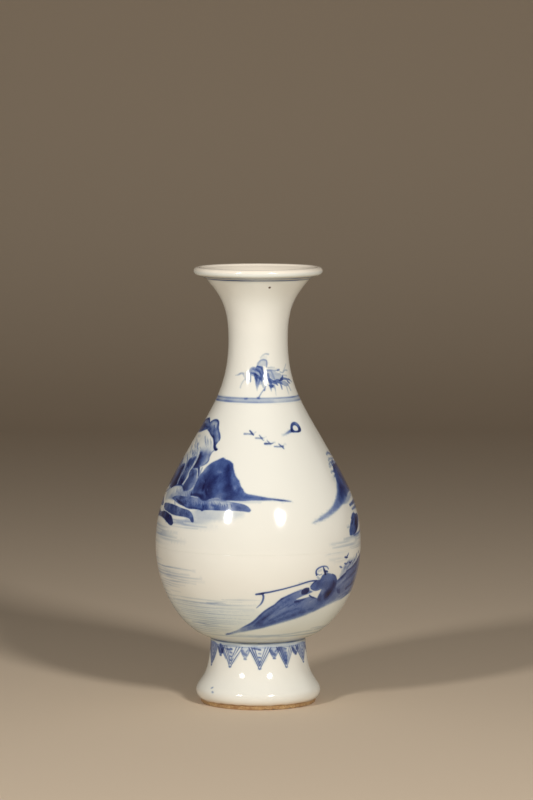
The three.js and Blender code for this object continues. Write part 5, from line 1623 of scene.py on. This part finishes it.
# One pinhole under the lip is larger, with a spot of iron in it.
PIT_ANGLE, PIT_Z = 14.2, 210.5
MM_PER_DEGREE = 0.33
neck_glaze, tree, shader, seen = glazed("neck_glaze")[:4]
spot = node(tree, "ShaderNodeAttribute", attribute_name="warm").outputs["Fac"]
tree.links.new(blend(tree, spot, seen, IRON), shader.inputs["Base Color"])
degrees = (np.arange(neck.columns) * 360 / neck.columns + 180) % 360 - 180
pit = np.hypot((degrees - PIT_ANGLE)[None] * MM_PER_DEGREE, neck.height[:, None] - PIT_Z)
neck.warm[neck.rows] = fade(0.7, 0.34, pit)
fitted(neck.piece("glazed_neck"), neck_glaze, "neck")


# Studio
# A pale floor that sweeps up into a backdrop, two softboxes in front of the vase, a large dim panel over
# it, a dim panel at each side and a dim room.
sweep = [(-6.0, 0.0), (1.4, 0.0), (1.57, 0.02), (1.7, 0.07), (1.79, 0.15), (1.85, 0.27), (1.88, 0.45),
         (1.9, 1.0), (1.9, 3.0)]
half_width = 3.5
verts = [(x, y, z) for y, z in sweep for x in (-half_width, half_width)]
faces = [(2 * k, 2 * k + 1, 2 * k + 3, 2 * k + 2) for k in range(len(sweep) - 1)]
paper_mesh = bpy.data.meshes.new("studio_sweep")
paper_mesh.from_pydata(verts, [], faces)
paper_mesh.polygons.foreach_set("use_smooth", [True] * len(faces))
paper = bpy.data.objects.new("studio_sweep", paper_mesh)
bpy.context.scene.collection.objects.link(paper)
paper_finish = bpy.data.materials.new("studio_paper")
paper_finish.use_nodes = True
paper_shader = paper_finish.node_tree.nodes["Principled BSDF"]
paper_shader.inputs["Base Color"].default_value = (0.662, 0.524, 0.375, 1)
paper_shader.inputs["Roughness"].default_value = 0.9
paper.data.materials.append(paper_finish)

# Every lamp is turned to the upper belly of the vase.
aim = Vector((0, 0, 0.13))


def softbox(name, place, size, watts, spread):
    """A soft lamp that the camera doesn't see: its place and size in metres, its spread in degrees."""
    light = bpy.data.lights.new(name, "AREA")
    light.shape = "ELLIPSE"
    light.size, light.size_y = size
    light.energy = watts
    light.spread = math.radians(spread)
    item = bpy.data.objects.new(name, light)
    item.location = place
    item.visible_camera = False
    item.rotation_euler = (aim - Vector(place)).to_track_quat("-Z", "Y").to_euler()
    bpy.context.scene.collection.objects.link(item)


softbox("softbox_left", (-0.815, -1.11, 0.70), (0.20, 0.255), 4.36, 120)
softbox("softbox_right", (0.61, -1.235, 0.71), (0.235, 0.31), 6.0, 120)
softbox("ceiling_panel", (0.0, -0.4, 1.4), (1.6, 1.6), 1.2, 180)
softbox("side_panel_left", (-1.5, 0.3, 0.6), (1.2, 1.2), 0.6, 180)
softbox("side_panel_right", (1.5, 0.3, 0.6), (1.2, 1.2), 0.9, 180)
room = bpy.data.worlds.new("studio_room")
bpy.context.scene.world = room
room.use_nodes = True
dim_room = room.node_tree.nodes["Background"]
dim_room.inputs["Color"].default_value = (0.64, 0.58, 0.51, 1)
dim_room.inputs["Strength"].default_value = 0.015
bpy.context.scene.view_settings.view_transform = "Standard"
